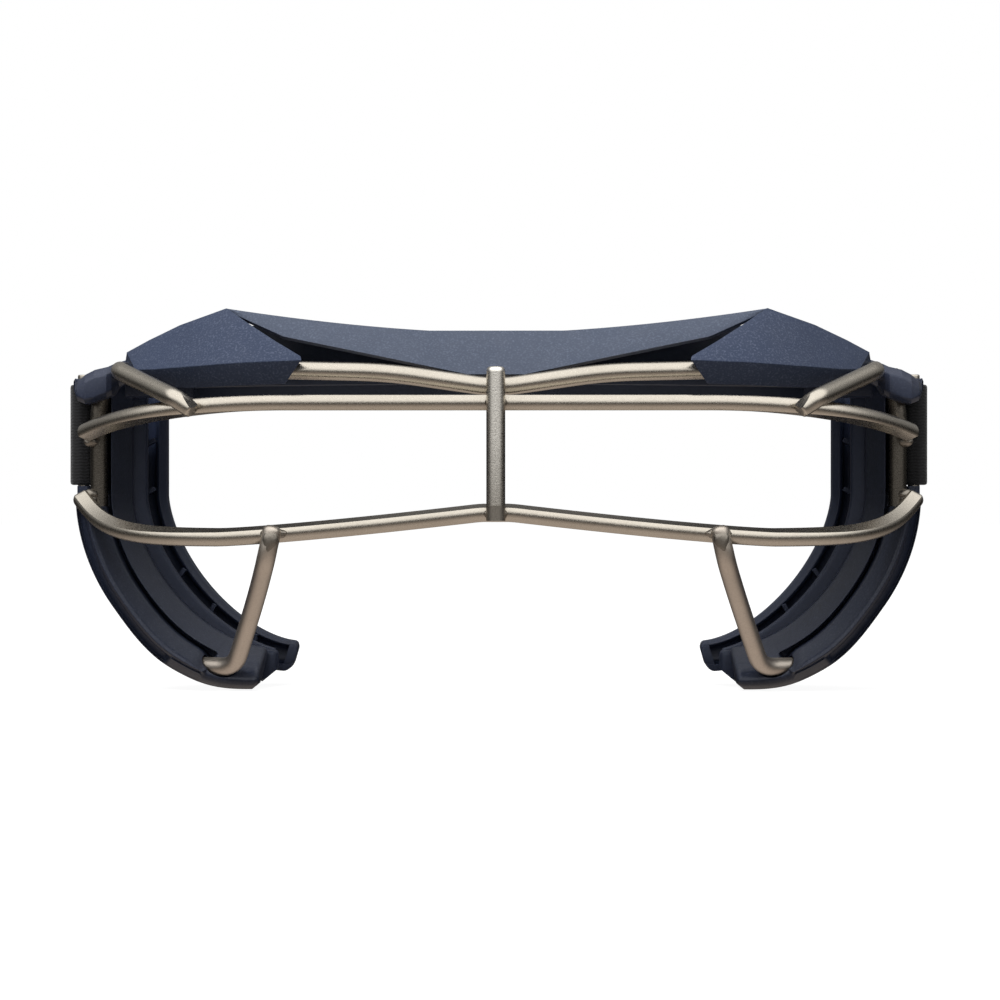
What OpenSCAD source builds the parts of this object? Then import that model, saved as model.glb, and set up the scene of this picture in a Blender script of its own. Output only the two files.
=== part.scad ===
// Sports protective goggles: a moulded brow and cheek frame, a welded wire eye cage,
// soft face pads and an elastic head strap with a sliding adjuster.
// Millimetres. +X is the right side seen from the front, the front faces -Y, +Z is up.
// The origin is the wearer's brow centre on the eye line, where the frame rests on the head.

/* [Cage] */
// Diameter of the round wires
wire_d = 3.6; // [3.2:0.1:4]
// Height of the flattened cross bars
bar_h = 2.9; // [2.6:0.1:3.2]
// Depth of the flattened cross bars
bar_t = 3.7; // [3.4:0.1:4]
// Plan radius of the cage corners
cage_corner_r = 46; // [45.4:0.2:46.6]
// Turn of the cage corners in degrees
cage_corner_turn = 57; // [56:1:58]
// Straight run of the cross bars behind the corners
cage_run = 5.5; // [4.9:0.2:6.1]
// Distance of the start of the cage corners inward of the frame's sides
cage_corner_in = 43; // [42.4:0.2:43.6]
// Height of the upper bar above the eye line
upper_bar_z = 15.7; // [15:0.1:16.4]
// Downward tilt of the upper bar's plane towards the back, in degrees
upper_bar_tilt = 12.8; // [12:0.2:13.6]
// Height of the lower bar at the middle
lower_mid_z = -5.3; // [-6:0.1:-4.8]
// Height of the lower bar at its lowest stretch
lower_low_z = -10; // [-10.6:0.1:-9.6]
// Height of the lower bar's ends
lower_end_z = -2.8; // [-3.2:0.1:-2.4]
// Height of the brow wire at the middle
brow_mid_z = 18.9; // [18.7:0.1:19.2]
// Height of the brow wire where it enters the brow caps
brow_side_z = 22.1; // [21.6:0.1:22.6]

/* [Moulded frame] */
// Distance from the front of the cage to the wearer's brow
stand_off = 28; // [28:0.5:30]
// Half width of the frame at the temples
frame_half_w = 83.6; // [83:0.2:84.4]
// Height of the frame below the eye line, at the cheeks
cheek_drop = 40.4; // [39.5:0.2:41.5]
// Radius of the wearer's brow in plan
brow_r = 85; // [83:0.5:88]
// Wall of the moulded carrier
wall = 2.6; // [2.2:0.1:3]
// Top of the brow at the middle
brow_top_z = 29.4; // [29:0.2:30.4]
// Top of the wing caps
wing_top_z = 34.2; // [33.4:0.2:35]

/* [Pads] */
// Thickness of the brow pad
pad_t = 3.4; // [3:0.1:4]
// Height of the brow pad
brow_pad_h = 13.5; // [12:0.5:14]

/* [Strap] */
// Width of the elastic strap
strap_w = 20; // [18:0.5:20]
// Thickness of the elastic strap
strap_t = 1.4; // [1.2:0.1:1.6]
// Diameter of the strap bars
strap_bar_d = 2.4; // [2.2:0.1:2.8]
// Length of the straight side stretches
strap_side = 132; // [128:1:136]
// Plan radius of the strap's turns behind the head
strap_turn_r = 60; // [58:1:61]
// Lean of the strap behind the head in degrees
strap_lean = 30; // [27:1:32]
// Rise of the strap from the temples to the back of the head
strap_lift = 18.5; // [18:0.25:19]
// Distance of the adjuster from the strap bar
slider_at = 36; // [36:1:38]
// Thickness of the adjuster's bars
slider_t = 1.6; // [1.4:0.1:1.8]

/* [Fits] */
// Clearance of a wire in its socket
socket_gap = 0.05; // [0.03:0.01:0.1]
// Clearance between pads, strap and the pieces beside them
soft_gap = 0.3; // [0.25:0.05:0.4]
// Gap between crossing wires, bridged by their welds
weld_gap = 0.03; // [0.02:0.01:0.06]

/* [Hidden] */
$fn = 48;

navy = "#2c3752";
navy_dark = "#1e2638";
satin = "#a89a88";
black = "#17181c";

front = -stand_off;
wire_r = wire_d / 2;
bar_y = front + wire_d + weld_gap + bar_t / 2;
brow_wire_y = bar_y + 2.4;

// Plan of the cross bars: straight front, round corner, straight run to the side posts
cage_flat = frame_half_w - cage_corner_in;
corner_out = cage_corner_r * sin(cage_corner_turn);
corner_back = cage_corner_r * (1 - cos(cage_corner_turn));
bar_end = [cage_flat + corner_out + cage_run * cos(cage_corner_turn),
           bar_y + corner_back + cage_run * sin(cage_corner_turn)];
post_reach = bar_t / 2 + wire_r + weld_gap;
post_at = bar_end + post_reach * [-sin(cage_corner_turn), cos(cage_corner_turn)];
// The upper bar stops short of the weld's middle by this much and the lower bar passes it
bar_stagger = 0.9;

// Cheek curves: centre x, centre z, half width, drop and exponent of each
shell_end_x = 46.5;
curve_z = -2;
outer_curve = [shell_end_x, curve_z, frame_half_w - shell_end_x, cheek_drop + curve_z, 1.92];
lip_curve = [shell_end_x, curve_z, frame_half_w - shell_end_x - 10.1, cheek_drop + curve_z - 7.8, 1.7];
pad_outer_curve = [shell_end_x - 4, curve_z, frame_half_w - shell_end_x - 0.9, cheek_drop + curve_z - 2.6, 1.78];
pad_inner_curve = [shell_end_x - 5, curve_z, frame_half_w - shell_end_x - 10.8, cheek_drop + curve_z - 8.6, 1.6];

// Strap
strap_x = frame_half_w - 2.85;
strap_bar_x = strap_x + strap_t / 2 + strap_bar_d / 2 + 0.1;
strap_bar_back = 38;
strap_bar_y = front + strap_bar_back;
strap_z = 10;
function smooth(t) = let (u = min(1, max(0, t))) u * u * (3 - 2 * u);
function mix(a, b, t) = a + (b - a) * t;
function unit(v) = v / norm(v);

// ---- helpers -------------------------------------------------------------------------

module on_side(side) {
    if (side < 0) mirror([1, 0, 0]) children();
    else children();
}

function flipped(p) = [-p.x, p.y, p.z];

// A closed solid through rings of equal point counts; each ring is two matched chains
module loft(rings) {
    n = len(rings[0]);
    k = n / 2;
    m = len(rings);
    points = [for (ring = rings) for (p = ring) p];
    sides = [for (j = [0:m - 2]) for (i = [0:n - 1])
        [j * n + i, j * n + (i + 1) % n, (j + 1) * n + (i + 1) % n, (j + 1) * n + i]];
    first = [for (i = [0:k - 2]) [i, n - 1 - i, n - 2 - i, i + 1]];
    last = [for (i = [0:k - 2]) [for (q = [i, i + 1, n - 2 - i, n - 1 - i]) (m - 1) * n + q]];
    quads = concat(sides, first, last);
    polyhedron(points, [for (q = quads) for (t = [[q[0], q[1], q[2]], [q[0], q[2], q[3]]]) t]);
}

// Matched chains of a profile given as pairs: the first points out, the second points back
function chain(pairs) = concat([for (p = pairs) p[0]], [for (i = [len(pairs) - 1:-1:0]) pairs[i][1]]);

// A round wire through corner points, each corner bent to its radius. Straights run a little
// way into the bends, which are a hair thinner, so that they join cleanly.
bend_step = 0.006;
module wire(path, bends, r) {
    last = len(path) - 1;
    function toward(i, j) = unit(path[j] - path[i]);
    function half(i) = acos(toward(i, i - 1) * toward(i, i + 1)) / 2;
    function cut(i) = (i == 0 || i == last) ? 0 : bends[i - 1] / tan(half(i));
    for (i = [0:last - 1]) {
        from = path[i] + toward(i, i + 1) * cut(i);
        to = path[i + 1] + toward(i + 1, i) * cut(i + 1);
        rod(from, to, r, (i == 0 ? 0 : 0.1), (i == last - 1 ? 0 : 0.1));
    }
    for (i = [1:1:last - 1]) {
        back = toward(i, i - 1);
        on = toward(i, i + 1);
        radius = bends[i - 1];
        centre = path[i] + unit(back + on) * radius / sin(half(i));
        x = unit(path[i] + back * cut(i) - centre);
        y = -back;
        z = cross(x, y);
        multmatrix([[x.x, y.x, z.x, centre.x], [x.y, y.y, z.y, centre.y],
                    [x.z, y.z, z.z, centre.z], [0, 0, 0, 1]])
            rotate_extrude(angle = 180 - 2 * half(i)) translate([radius, 0]) circle(r - bend_step);
    }
}

module rod(from, to, r, before = 0, after = 0) {
    d = to - from;
    translate(from) rotate([0, acos(d.z / norm(d)), atan2(d.y, d.x)])
        translate([0, 0, -before]) cylinder(r = r, h = norm(d) + before + after);
}

function on_curve(c, a) = [c[0] + c[2] * pow(cos(a), 2 / c[4]), c[1] - c[3] * pow(sin(a), 2 / c[4])];

// ---- wire cage -----------------------------------------------------------------------

module bar_profile(less = 0) {
    intersection() {
        circle(d = bar_t - less);
        square([bar_t, bar_h - less], center = true);
    }
}

module upper_bar() color(satin)
    translate([0, bar_y, upper_bar_z]) rotate([-upper_bar_tilt, 0, 0]) {
        translate([-cage_flat - 0.1, 0, 0]) rotate([90, 0, 90])
            linear_extrude(2 * cage_flat + 0.2) bar_profile();
        for (side = [-1, 1]) on_side(side) translate([cage_flat, cage_corner_r, 0]) {
            rotate([0, 0, -90]) rotate_extrude(angle = cage_corner_turn)
                translate([cage_corner_r, 0]) bar_profile(2 * bend_step);
            rotate([0, 0, cage_corner_turn]) translate([-0.1, -cage_corner_r, 0])
                rotate([90, 0, 90]) linear_extrude(cage_run + 0.1 - bar_stagger) bar_profile();
        }
    }

// Half plan of a cross bar at a distance along it
function plan_at(s) =
    let (arc = cage_corner_r * cage_corner_turn * PI / 180, a = (s - cage_flat) / cage_corner_r * 180 / PI)
    s <= cage_flat ? [s, bar_y]
    : s <= cage_flat + arc ? [cage_flat + cage_corner_r * sin(a), bar_y + cage_corner_r * (1 - cos(a))]
    : [cage_flat + corner_out, bar_y + corner_back]
      + (s - cage_flat - arc) * [cos(cage_corner_turn), sin(cage_corner_turn)];

// The lower bar dips to each side of the middle and rises towards the posts
lower_fall = 50;
function lower_z(p) =
    mix(lower_mid_z, lower_low_z, 1 - pow(1 - min(1, max(0, p.x - 3) / lower_fall), 1.25))
    + (lower_end_z - lower_low_z) * pow(max(0, p.y - bar_y) / (bar_end.y - bar_y), 2.6);

lower_half = cage_flat + cage_corner_r * cage_corner_turn * PI / 180 + cage_run + bar_stagger;
function lower_at(s) = let (p = plan_at(abs(s))) [sign(s) * p.x, p.y, lower_z(p)];
function bar_ring(at, along) =
    let (side = unit(cross(along, [0, 0, 1])), up = cross(side, along), flat = asin(bar_h / bar_t))
    [for (q = chain([for (a = [-flat, -flat * 0.6, -flat * 0.2, flat * 0.2, flat * 0.6, flat])
        bar_t / 2 * [[cos(a), sin(a)], [-cos(a), sin(a)]]])) at + side * q.x + up * q.y];

module lower_bar() color(satin) {
    steps = concat([0, 4, 10, 20, 30], [for (i = [0:13]) mix(cage_flat - 3, lower_half, i / 13)]);
    stations = concat([for (i = [len(steps) - 1:-1:1]) -steps[i]], steps);
    loft([for (s = stations) bar_ring(lower_at(s), unit(lower_at(s + 0.1) - lower_at(s - 0.1)))]);
}

module centre_bar() color(satin) {
    foot = lower_mid_z - bar_h / 2 + 0.2;
    top = brow_mid_z + wire_r;
    translate([0, front + wire_r, foot]) cylinder(r = wire_r, h = top - foot);
    translate([0, front + wire_r, top]) sphere(r = wire_r);
}

brow_reach = 44.5;
brow_knee = 21;
module brow_rod(r) {
    side = [brow_reach, front + 10.6, brow_side_z + 0.1];
    knee = [brow_knee, brow_wire_y + 0.6, brow_side_z - 0.5];
    mid = [0, brow_wire_y, brow_mid_z - 0.3];
    wire([flipped(side), flipped(knee), mid, knee, side], [90, 28, 90], r);
}
module brow_wire() color(satin) brow_rod(wire_r);

brow_post_x = cage_flat + 16.6;
brow_post_z = 22.4;
brow_post_end = frame_half_w - 10.6;
function brow_post_path() = [
    [brow_post_x, front + 4.4, upper_bar_z - 0.9],
    [brow_post_x + 4.2, front + 5.2, upper_bar_z + 1],
    [brow_post_end + 1, front + 22, brow_post_z],
    [brow_post_end, front + 33, brow_post_z]];
brow_post_bends = [5, 5];
module brow_post(side) color(satin) on_side(side) wire(brow_post_path(), brow_post_bends, wire_r);
module brow_post_left() brow_post(-1);
module brow_post_right() brow_post(1);

post_top = 19.5;
post_foot = -8;
module side_post(side) color(satin) on_side(side)
    translate([post_at.x, post_at.y, post_foot]) cylinder(r = wire_r, h = post_top - post_foot);
module side_post_left() side_post(-1);
module side_post_right() side_post(1);

leg_x = frame_half_w - 41.3;
leg_foot_x = frame_half_w - 23.6;
leg_foot_z = 3.3 - cheek_drop;
function cheek_leg_path() = [
    [leg_x, front + wire_r, lower_low_z + 1.7],
    [leg_x + 1.4, front + wire_r + 0.1, lower_low_z - 4.4],
    [leg_x + 4.2, front + 14.6, leg_foot_z + 15.1],
    [leg_foot_x - 8.2, front + 27.6, leg_foot_z + 1.3],
    [leg_foot_x, front + 29.4, leg_foot_z]];
leg_bends = [6, 60, 5];
module cheek_leg(side) color(satin) on_side(side) wire(cheek_leg_path(), leg_bends, wire_r);
module cheek_leg_left() cheek_leg(-1);
module cheek_leg_right() cheek_leg(1);

// Welds: beads on the middle bar, on the legs and brow posts, and where the cross bars meet the posts
weld_r = wire_r + 0.2;
post_weld_r = wire_r - 0.1;
function post_weld(z) = let (p = bar_end + bar_t / 2 * [-sin(cage_corner_turn), cos(cage_corner_turn)])
    [p.x, p.y, z];
upper_end_z = upper_bar_z - (bar_end.y - bar_y) * tan(upper_bar_tilt);
module cage_welds() color(satin) {
    translate([0, brow_wire_y - wire_r - 1, brow_mid_z]) sphere(r = weld_r);
    for (z = [upper_bar_z, lower_mid_z]) translate([0, front + wire_d, z]) sphere(r = weld_r);
    for (side = [-1, 1]) on_side(side) {
        translate(lower_at(leg_x) - [0, bar_t / 2, 0]) sphere(r = weld_r);
        translate(post_weld(upper_end_z)) sphere(r = post_weld_r);
        translate(post_weld(lower_end_z)) sphere(r = post_weld_r);
        translate([brow_post_x + 1, front + 6.4, upper_bar_z - 0.4]) sphere(r = weld_r);
    }
}

// ---- moulded frame -------------------------------------------------------------------

// Cheek shell section: share of the way from the outer edge to the lip, front and back depth
shell_section = [
    [0, 30, 33.5], [0.06, 27.6, 35.5], [0.17, 26.2, 38], [0.62, 31.6, 44],
    [0.655, 35.4, 44], [0.75, 35.6, 44], [0.79, 34.5, 44], [1, 41, 44]];
shell_turns = [0, 5, 11, 18, 25, 32, 39, 46, 53, 60, 67, 74, 80, 85, 90];

function shell_ring(a) =
    let (o = on_curve(outer_curve, a), l = on_curve(lip_curve, a))
    chain([for (s = shell_section) let (p = mix(o, l, s[0]))
        [[p.x, front + s[1], p.y], [p.x, front + s[2], p.y]]]);

relief_gap = 0.65;
module bar_relief() {
    end = lower_at(lower_half);
    back = lower_at(lower_half - 12);
    translate(end) rotate([0, 0, cage_corner_turn])
        rotate([0, -atan((end.z - back.z) / 12), 0])
            translate([-22, -12, -bar_h / 2 - relief_gap]) cube([26, 12 + bar_t / 2 + relief_gap, 12]);
}

module weld_pocket() translate(post_weld(lower_end_z)) sphere(r = post_weld_r + 0.4);

module leg_recess() wire(cheek_leg_path(), leg_bends, wire_r + 0.3);

module cheek_shell(side) color(navy) on_side(side) difference() {
    loft([for (a = shell_turns) shell_ring(a)]);
    bar_relief();
    weld_pocket();
    leg_recess();
    post_socket();
}
module cheek_shell_left() cheek_shell(-1);
module cheek_shell_right() cheek_shell(1);

module post_socket() translate([post_at.x, post_at.y, post_foot - socket_gap])
    cylinder(r = wire_r + socket_gap, h = post_top - post_foot + 2 * socket_gap);

module strap_bar_socket() translate([strap_bar_x, strap_bar_y, strap_z])
    cylinder(r = strap_bar_d / 2 + socket_gap, h = strap_w + 4 + 2 * socket_gap, center = true);

// Plan of a section at the temple
function temple_plan(section) = [
    for (s = concat([for (q = section) [q[0], q[1]]],
                    [for (i = [len(section) - 1:-1:0]) [section[i][0], section[i][2]]]))
    [mix(outer_curve[0] + outer_curve[2], lip_curve[0] + lip_curve[2], s[0]), front + s[1]]];

// The wall behind the side post, and the sections of the lug's nose and of the arm over the strap
temple_section = [[0.42, 35.8, 44], [0.75, 35.8, 44], [0.79, 34.5, 44], [1, 41, 44]];
lug_z = 23.5;
lug_x = frame_half_w - 10;
lug_nose = [[lug_x, 20.6], [lug_x + 6.6, 16.6], [lug_x + 8.4, 17], [lug_x + 9.2, 18.6],
            [lug_x + 8.9, 21.2], [lug_x + 5.6, 23.2], [lug_x, lug_z]];
lug_step = 1.2;
nose_back = strap_bar_y - strap_bar_d / 2 - strap_t - 0.5;
arm_back = front + 42.5;
arm_z = strap_z + strap_w / 2 + 1.1;
module temple_frame(side) color(navy) on_side(side) difference() {
    union() {
        translate([0, 0, curve_z]) linear_extrude(1.7) polygon(temple_plan(shell_section));
        translate([0, 0, curve_z]) linear_extrude(lug_z - curve_z) polygon(temple_plan(temple_section));
        translate([0, nose_back, 0]) rotate([90, 0, 0]) linear_extrude(9.5) polygon(lug_nose);
        translate([0, arm_back, 0]) rotate([90, 0, 0]) linear_extrude(arm_back - nose_back) polygon([
            [lug_x, arm_z], [lug_x + 10.8, arm_z], [lug_x + 9.9, 21.9], [lug_x + 8, 22.9], [lug_x + 5, lug_z],
            [lug_x, lug_z]]);
        translate([lug_x - 13.6, front + 32, lug_z - lug_step]) cube([14, 10, lug_step]);
    }
    bar_relief();
    weld_pocket();
    post_socket();
    strap_bar_socket();
    wire(brow_post_path(), brow_post_bends, wire_r + socket_gap);
}
module temple_frame_left() temple_frame(-1);
module temple_frame_right() temple_frame(1);

carrier_r = brow_r + pad_t + 0.1;
carrier_foot = 16.5;
carrier_shelf_z = 19.5;
carrier_shelf = 11.1;
// The carrier's wall is higher behind the gaps between the visor and the caps
module brow_carrier() color(navy_dark) translate([0, brow_r, 0]) {
    rotate([0, 0, 270 - 46]) rotate_extrude(angle = 92) {
        translate([carrier_r, carrier_foot]) square([wall, 12]);
        translate([carrier_r, carrier_shelf_z]) square([carrier_shelf, wall]);
    }
    for (side = [-1, 1]) on_side(side) rotate([0, 0, 270 + 23]) rotate_extrude(angle = 13)
        translate([carrier_r + 0.1, carrier_foot + 1]) square([wall - 0.2, 14.2]);
}

// Front face of the carrier wall, in plan
function carrier_front(x) = brow_r - sqrt(pow(carrier_r + wall, 2) - x * x);

// Visor: lower lip, top edge and rear edge at a distance from the middle
function visor_lip(x) = [x, front + 7.8 + x * x / 380 + max(0, x - 41) * 0.16, x < 5.6 ? 21.2 : x < 41.1
    ? mix(21.2, 28.6, (x - 5.5) / 35.5) : mix(28.6, 33.15, (x - 41) / 10)];
function visor_top(x) = [x, front + 15 + x * x / 1500, brow_top_z + 4.6 * pow(x / 51, 1.7)];
function visor_rear(x) = [x, carrier_front(x) - 0.3, brow_top_z + 3.4 * pow(x / 51, 1.7)];
function visor_ring(x) = let (lip = visor_lip(abs(x)), top = visor_top(abs(x)), rear = visor_rear(abs(x)),
                              thick = mix(wall, visor_tip, smooth((abs(x) - 38) / 10)))
    [for (p = chain([
        [lip, lip + [0, 2.4, 0.3]],
        [top, top + [0, 0.9, -thick]],
        [rear, rear + [0, 0, -thick]]])) [p.x * sign(x), p.y, p.z]];
visor_half = [5.5, 13, 24, 34, 41, 46, 49.5, 52.6];
visor_tip = 0.45;
module brow_visor() color(navy)
    loft([for (x = concat([for (i = [len(visor_half) - 1:-1:0]) -visor_half[i]], visor_half)) visor_ring(x)]);

cap_ridge = [[37, 4.6, 23.9], [42.5, 4.8, 23.6], [48, 5.2, 23.4], [53, 6.6, 23], [60, 10, 22.6],
             [66.5, 15.6, 22.8], [72.4, 22.4, 24.3]];
cap_top = [[37.3, 5.4, 24.7], [42.3, 8.6, 27.6], [47.8, 11.4, 31.2], [52, 14.4, wing_top_z],
           [61.8, 20.5, 31.2], [68.4, 25, 28.2], [73, 28.4, 26]];
cap_rear = [[37.6, 8.4, 24.7], [42.8, 12, 26.4], [48, 15.6, 28.6], [53.2, 30, 31.4],
            [62.5, 38, 28.8], [69, 40.5, 27.2], [73.2, 40.5, 26]];
cap_foot = [[38.2, 6.4, 20.6], [42.5, 8.2, 19.4], [48.5, 9, 19.1], [53, 10, 18.9],
            [59.5, 13.5, 18.7], [66.5, 18.6, 19.4], [72.2, 23.8, 22.6]];
module brow_cap(side) color(navy) on_side(side) difference() {
    translate([0, front, 0]) loft([for (i = [0:len(cap_ridge) - 1]) chain([
        [cap_foot[i], cap_foot[i] + [0.2, 1.8, 0.3]],
        [cap_ridge[i], cap_ridge[i] + [0.3, 2.4, -0.2]],
        [cap_top[i], cap_top[i] + [0.2, 1.2, i == 0 ? -0.7 : -2]],
        [cap_rear[i], cap_rear[i] + [0, 0.2, i == 0 ? -0.9 : -2.2]]])]);
    brow_rod(wire_r + socket_gap);
    wire(brow_post_path(), brow_post_bends, wire_r + socket_gap);
}
module brow_cap_left() brow_cap(-1);
module brow_cap_right() brow_cap(1);

// ---- pads ----------------------------------------------------------------------------

brow_pad_z = 15.6;
module brow_pad() color(navy_dark)
    translate([0, brow_r, 0]) rotate([0, 0, 270 - 46.5]) rotate_extrude(angle = 93)
        translate([brow_r, brow_pad_z]) square([pad_t, brow_pad_h]);

// Channel section: flange, outer web and rear rib, open towards the face
pad_section = [
    [[0.72, 44.7], [0.72, 48]], [[0, 44.3], [0.22, 49]], [[0, 60], [0.22, 54.8]],
    [[0.85, 61.5], [0.8, 55.2]], [[1, 59.5], [0.81, 52.3]], [[1, 53.2], [0.88, 51.4]]];
pad_top = 18;
function pad_ring(a, lift) =
    let (o = on_curve(pad_outer_curve, a), n = on_curve(pad_inner_curve, a))
    chain([for (pair = pad_section) [for (s = pair) let (p = mix(o, n, s[0]))
        [p.x, front + s[1], p.y + lift]]]);
module side_pad(side) color(navy_dark) on_side(side)
    loft(concat([pad_ring(0, pad_top - curve_z)], [for (a = shell_turns) pad_ring(a, 0)]));
module side_pad_left() side_pad(-1);
module side_pad_right() side_pad(1);

// ---- strap ---------------------------------------------------------------------------

module strap_bar(side) color(satin) on_side(side)
    translate([strap_bar_x, strap_bar_y, strap_z])
        cylinder(d = strap_bar_d, h = strap_w + 4, center = true);
module strap_bar_left() strap_bar(-1);
module strap_bar_right() strap_bar(1);

fold_r = strap_bar_d / 2 + 0.1 + strap_t / 2;
strap_back = strap_x - strap_turn_r;

// Plan x, plan y, heading of the band's face and lean, for half of the strap:
// around the bar from its outer side, along the head and round to the middle of the back
function strap_half() = concat(
    [for (a = [0:30:150]) [strap_bar_x + fold_r * cos(a), strap_bar_y - fold_r * sin(a), -a, 0]],
    [for (t = [0:0.1:1]) [strap_x, strap_bar_y + strap_side * t, -180, strap_lean * lean_share(t)]],
    [for (a = [10:10:90]) [strap_back + strap_turn_r * cos(a),
        strap_bar_y + strap_side + strap_turn_r * sin(a), a - 180, strap_lean * lean_share(1 + a / 100)]],
    [[0, strap_bar_y + strap_side + strap_turn_r, -90, strap_lean]]);
function lean_share(t) = smooth((t - 0.7) / 0.42);

// Height and slope of the band's middle: level past the adjuster, then up over the ears
strap_level = 70;
strap_climb = 98;
function climb_share(y) = (y - strap_bar_y - strap_level) / strap_climb;
function strap_height(y) = strap_z + strap_lift * smooth(climb_share(y));
function strap_slope(y) = let (u = min(1, max(0, climb_share(y)))) strap_lift / strap_climb * 6 * u * (1 - u);

function band_ring(s) =
    let (level = [cos(s[2]), sin(s[2]), 0],
         along = (cos(s[2]) > 0 ? -1 : 1) * [sin(s[2]), -cos(s[2]), 0],
         middle = [s.x, s.y, strap_height(s.y)],
         tilt = atan(strap_slope(s.y) * abs(cos(s[2]))),
         rise = [0, 0, 1] * cos(tilt) - along * sin(tilt),
         up = rise * cos(s[3]) + level * sin(s[3]),
         face = level * cos(s[3]) - rise * sin(s[3]))
    chain([for (v = [-1, 1]) [middle + up * v * strap_w / 2 + face * strap_t / 2,
                              middle + up * v * strap_w / 2 - face * strap_t / 2]]);

// The sewn tail lies against the strap behind the left bar
tail_l = 26;
tail_x = strap_x + strap_t + 0.05;
tail = [[tail_x, strap_bar_y + tail_l, 0, 0], [tail_x, strap_bar_y + tail_l * 0.6, 0, 0],
        [mix(tail_x, strap_bar_x + fold_r, 0.85), strap_bar_y + tail_l * 0.2, 0, 0]];
module strap() color(black) {
    half = strap_half();
    left = [for (s = concat(tail, half)) [for (p = band_ring(s)) flipped(p)]];
    right = [for (i = [len(half) - 2:-1:0]) band_ring(half[i])];
    loft(concat(left, right));
}

// Adjuster: side rails, two inner bars the strap passes over and an outer bar its end is sewn round
slider_y = strap_bar_y + slider_at;
slider_l = 16;
return_x = strap_x + strap_t + soft_gap;
slider_bar_x = return_x + strap_t / 2 + 0.1 + slider_t / 2;
slider_loop_r = slider_t / 2 + 0.1 + strap_t / 2;
slider_split = 6;
module strap_return() color(black)
    loft([for (s = [
        [return_x, slider_y - slider_split - soft_gap, 0, 0],
        [return_x, slider_y - slider_split - 11, 0, 0],
        [mix(return_x, strap_bar_x + fold_r, 0.8), strap_bar_y + 6, 0, 0],
        [strap_bar_x + fold_r, strap_bar_y + 0.3, 0, 0]]) band_ring(s)]);

module strap_end_loop() color(black)
    loft([for (s = concat(
        [[return_x, slider_y - slider_split, 0, 0]],
        [for (a = [0:30:180]) [slider_bar_x - slider_loop_r * cos(a),
                               slider_y + slider_loop_r * sin(a), -a, 0]],
        [[slider_bar_x + slider_loop_r - 0.3, slider_y - 4, -180, 0],
         [return_x + strap_t + 0.05, slider_y - 8, -180, 0],
         [return_x + strap_t + 0.05, slider_y - 14, -180, 0]])) band_ring(s)]);

slider_rail = 1.3;
module strap_adjuster() color(black)
    translate([0, slider_y, strap_z]) {
        inner_x = strap_x - strap_t / 2 - soft_gap - slider_t;
        outer_x = slider_bar_x + slider_t / 2;
        clear_h = strap_w / 2 + soft_gap;
        for (side = [-1, 1]) {
            translate([inner_x, 0, side * (clear_h + slider_rail / 2)]) rotate([90, 0, 90])
                linear_extrude(outer_x - inner_x) union() {
                    square([slider_l - slider_rail, slider_rail], center = true);
                    for (end = [-1, 1])
                        translate([end * (slider_l - slider_rail) / 2, 0]) circle(d = slider_rail);
                }
            translate([inner_x, side * (slider_l / 2 - 1.1) - 1.1, -clear_h - slider_rail / 2])
                cube([slider_t, 2.2, 2 * clear_h + slider_rail]);
        }
        translate([slider_bar_x, 0, 0]) cylinder(d = slider_t, h = 2 * clear_h + slider_rail, center = true);
    }

brow_carrier();
brow_visor();
brow_cap_left();
brow_cap_right();
temple_frame_left();
temple_frame_right();
cheek_shell_left();
cheek_shell_right();
brow_wire();
upper_bar();
lower_bar();
centre_bar();
brow_post_left();
brow_post_right();
side_post_left();
side_post_right();
cheek_leg_left();
cheek_leg_right();
cage_welds();
brow_pad();
side_pad_left();
side_pad_right();
strap_bar_left();
strap_bar_right();
strap();
strap_return();
strap_end_loop();
strap_adjuster();
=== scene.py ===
import bpy
import bmesh
from math import acos, atan, atan2, copysign, cos, pi, radians, sin, sqrt, tan
from mathutils import Matrix, Vector, noise


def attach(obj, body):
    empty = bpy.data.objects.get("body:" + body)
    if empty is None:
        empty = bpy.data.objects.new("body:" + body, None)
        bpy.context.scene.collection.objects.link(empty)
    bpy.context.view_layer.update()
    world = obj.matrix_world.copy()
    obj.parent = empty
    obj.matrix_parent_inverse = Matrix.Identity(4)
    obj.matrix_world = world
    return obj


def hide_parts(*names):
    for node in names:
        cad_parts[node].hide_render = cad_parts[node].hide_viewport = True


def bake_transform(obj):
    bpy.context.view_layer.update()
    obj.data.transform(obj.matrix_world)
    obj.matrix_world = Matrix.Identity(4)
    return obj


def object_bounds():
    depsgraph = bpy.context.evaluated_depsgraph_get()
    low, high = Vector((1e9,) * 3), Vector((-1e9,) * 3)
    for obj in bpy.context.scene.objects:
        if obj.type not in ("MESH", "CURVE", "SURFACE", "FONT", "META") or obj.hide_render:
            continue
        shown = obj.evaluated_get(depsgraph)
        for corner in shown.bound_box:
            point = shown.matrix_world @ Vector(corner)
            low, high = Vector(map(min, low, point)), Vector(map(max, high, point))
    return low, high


# Sports protective goggles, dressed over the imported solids. Sizes below are in millimetres.
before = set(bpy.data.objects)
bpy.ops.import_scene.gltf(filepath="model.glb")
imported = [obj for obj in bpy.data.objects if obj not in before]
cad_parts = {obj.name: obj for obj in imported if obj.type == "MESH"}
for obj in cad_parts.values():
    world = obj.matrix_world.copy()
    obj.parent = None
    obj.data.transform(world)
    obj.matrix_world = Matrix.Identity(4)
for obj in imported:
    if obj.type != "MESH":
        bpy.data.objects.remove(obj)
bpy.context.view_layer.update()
mm = 0.001
# where the front of the cage stands
front = -28.0


def placed(name, data):
    made = bpy.data.objects.new(name, data)
    bpy.context.scene.collection.objects.link(made)
    return made


# ---- camera ----

view = {"place": (9.5, -728, 0), "yaw": -0.71, "pitch": -0.232, "lens": 133.2}


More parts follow.
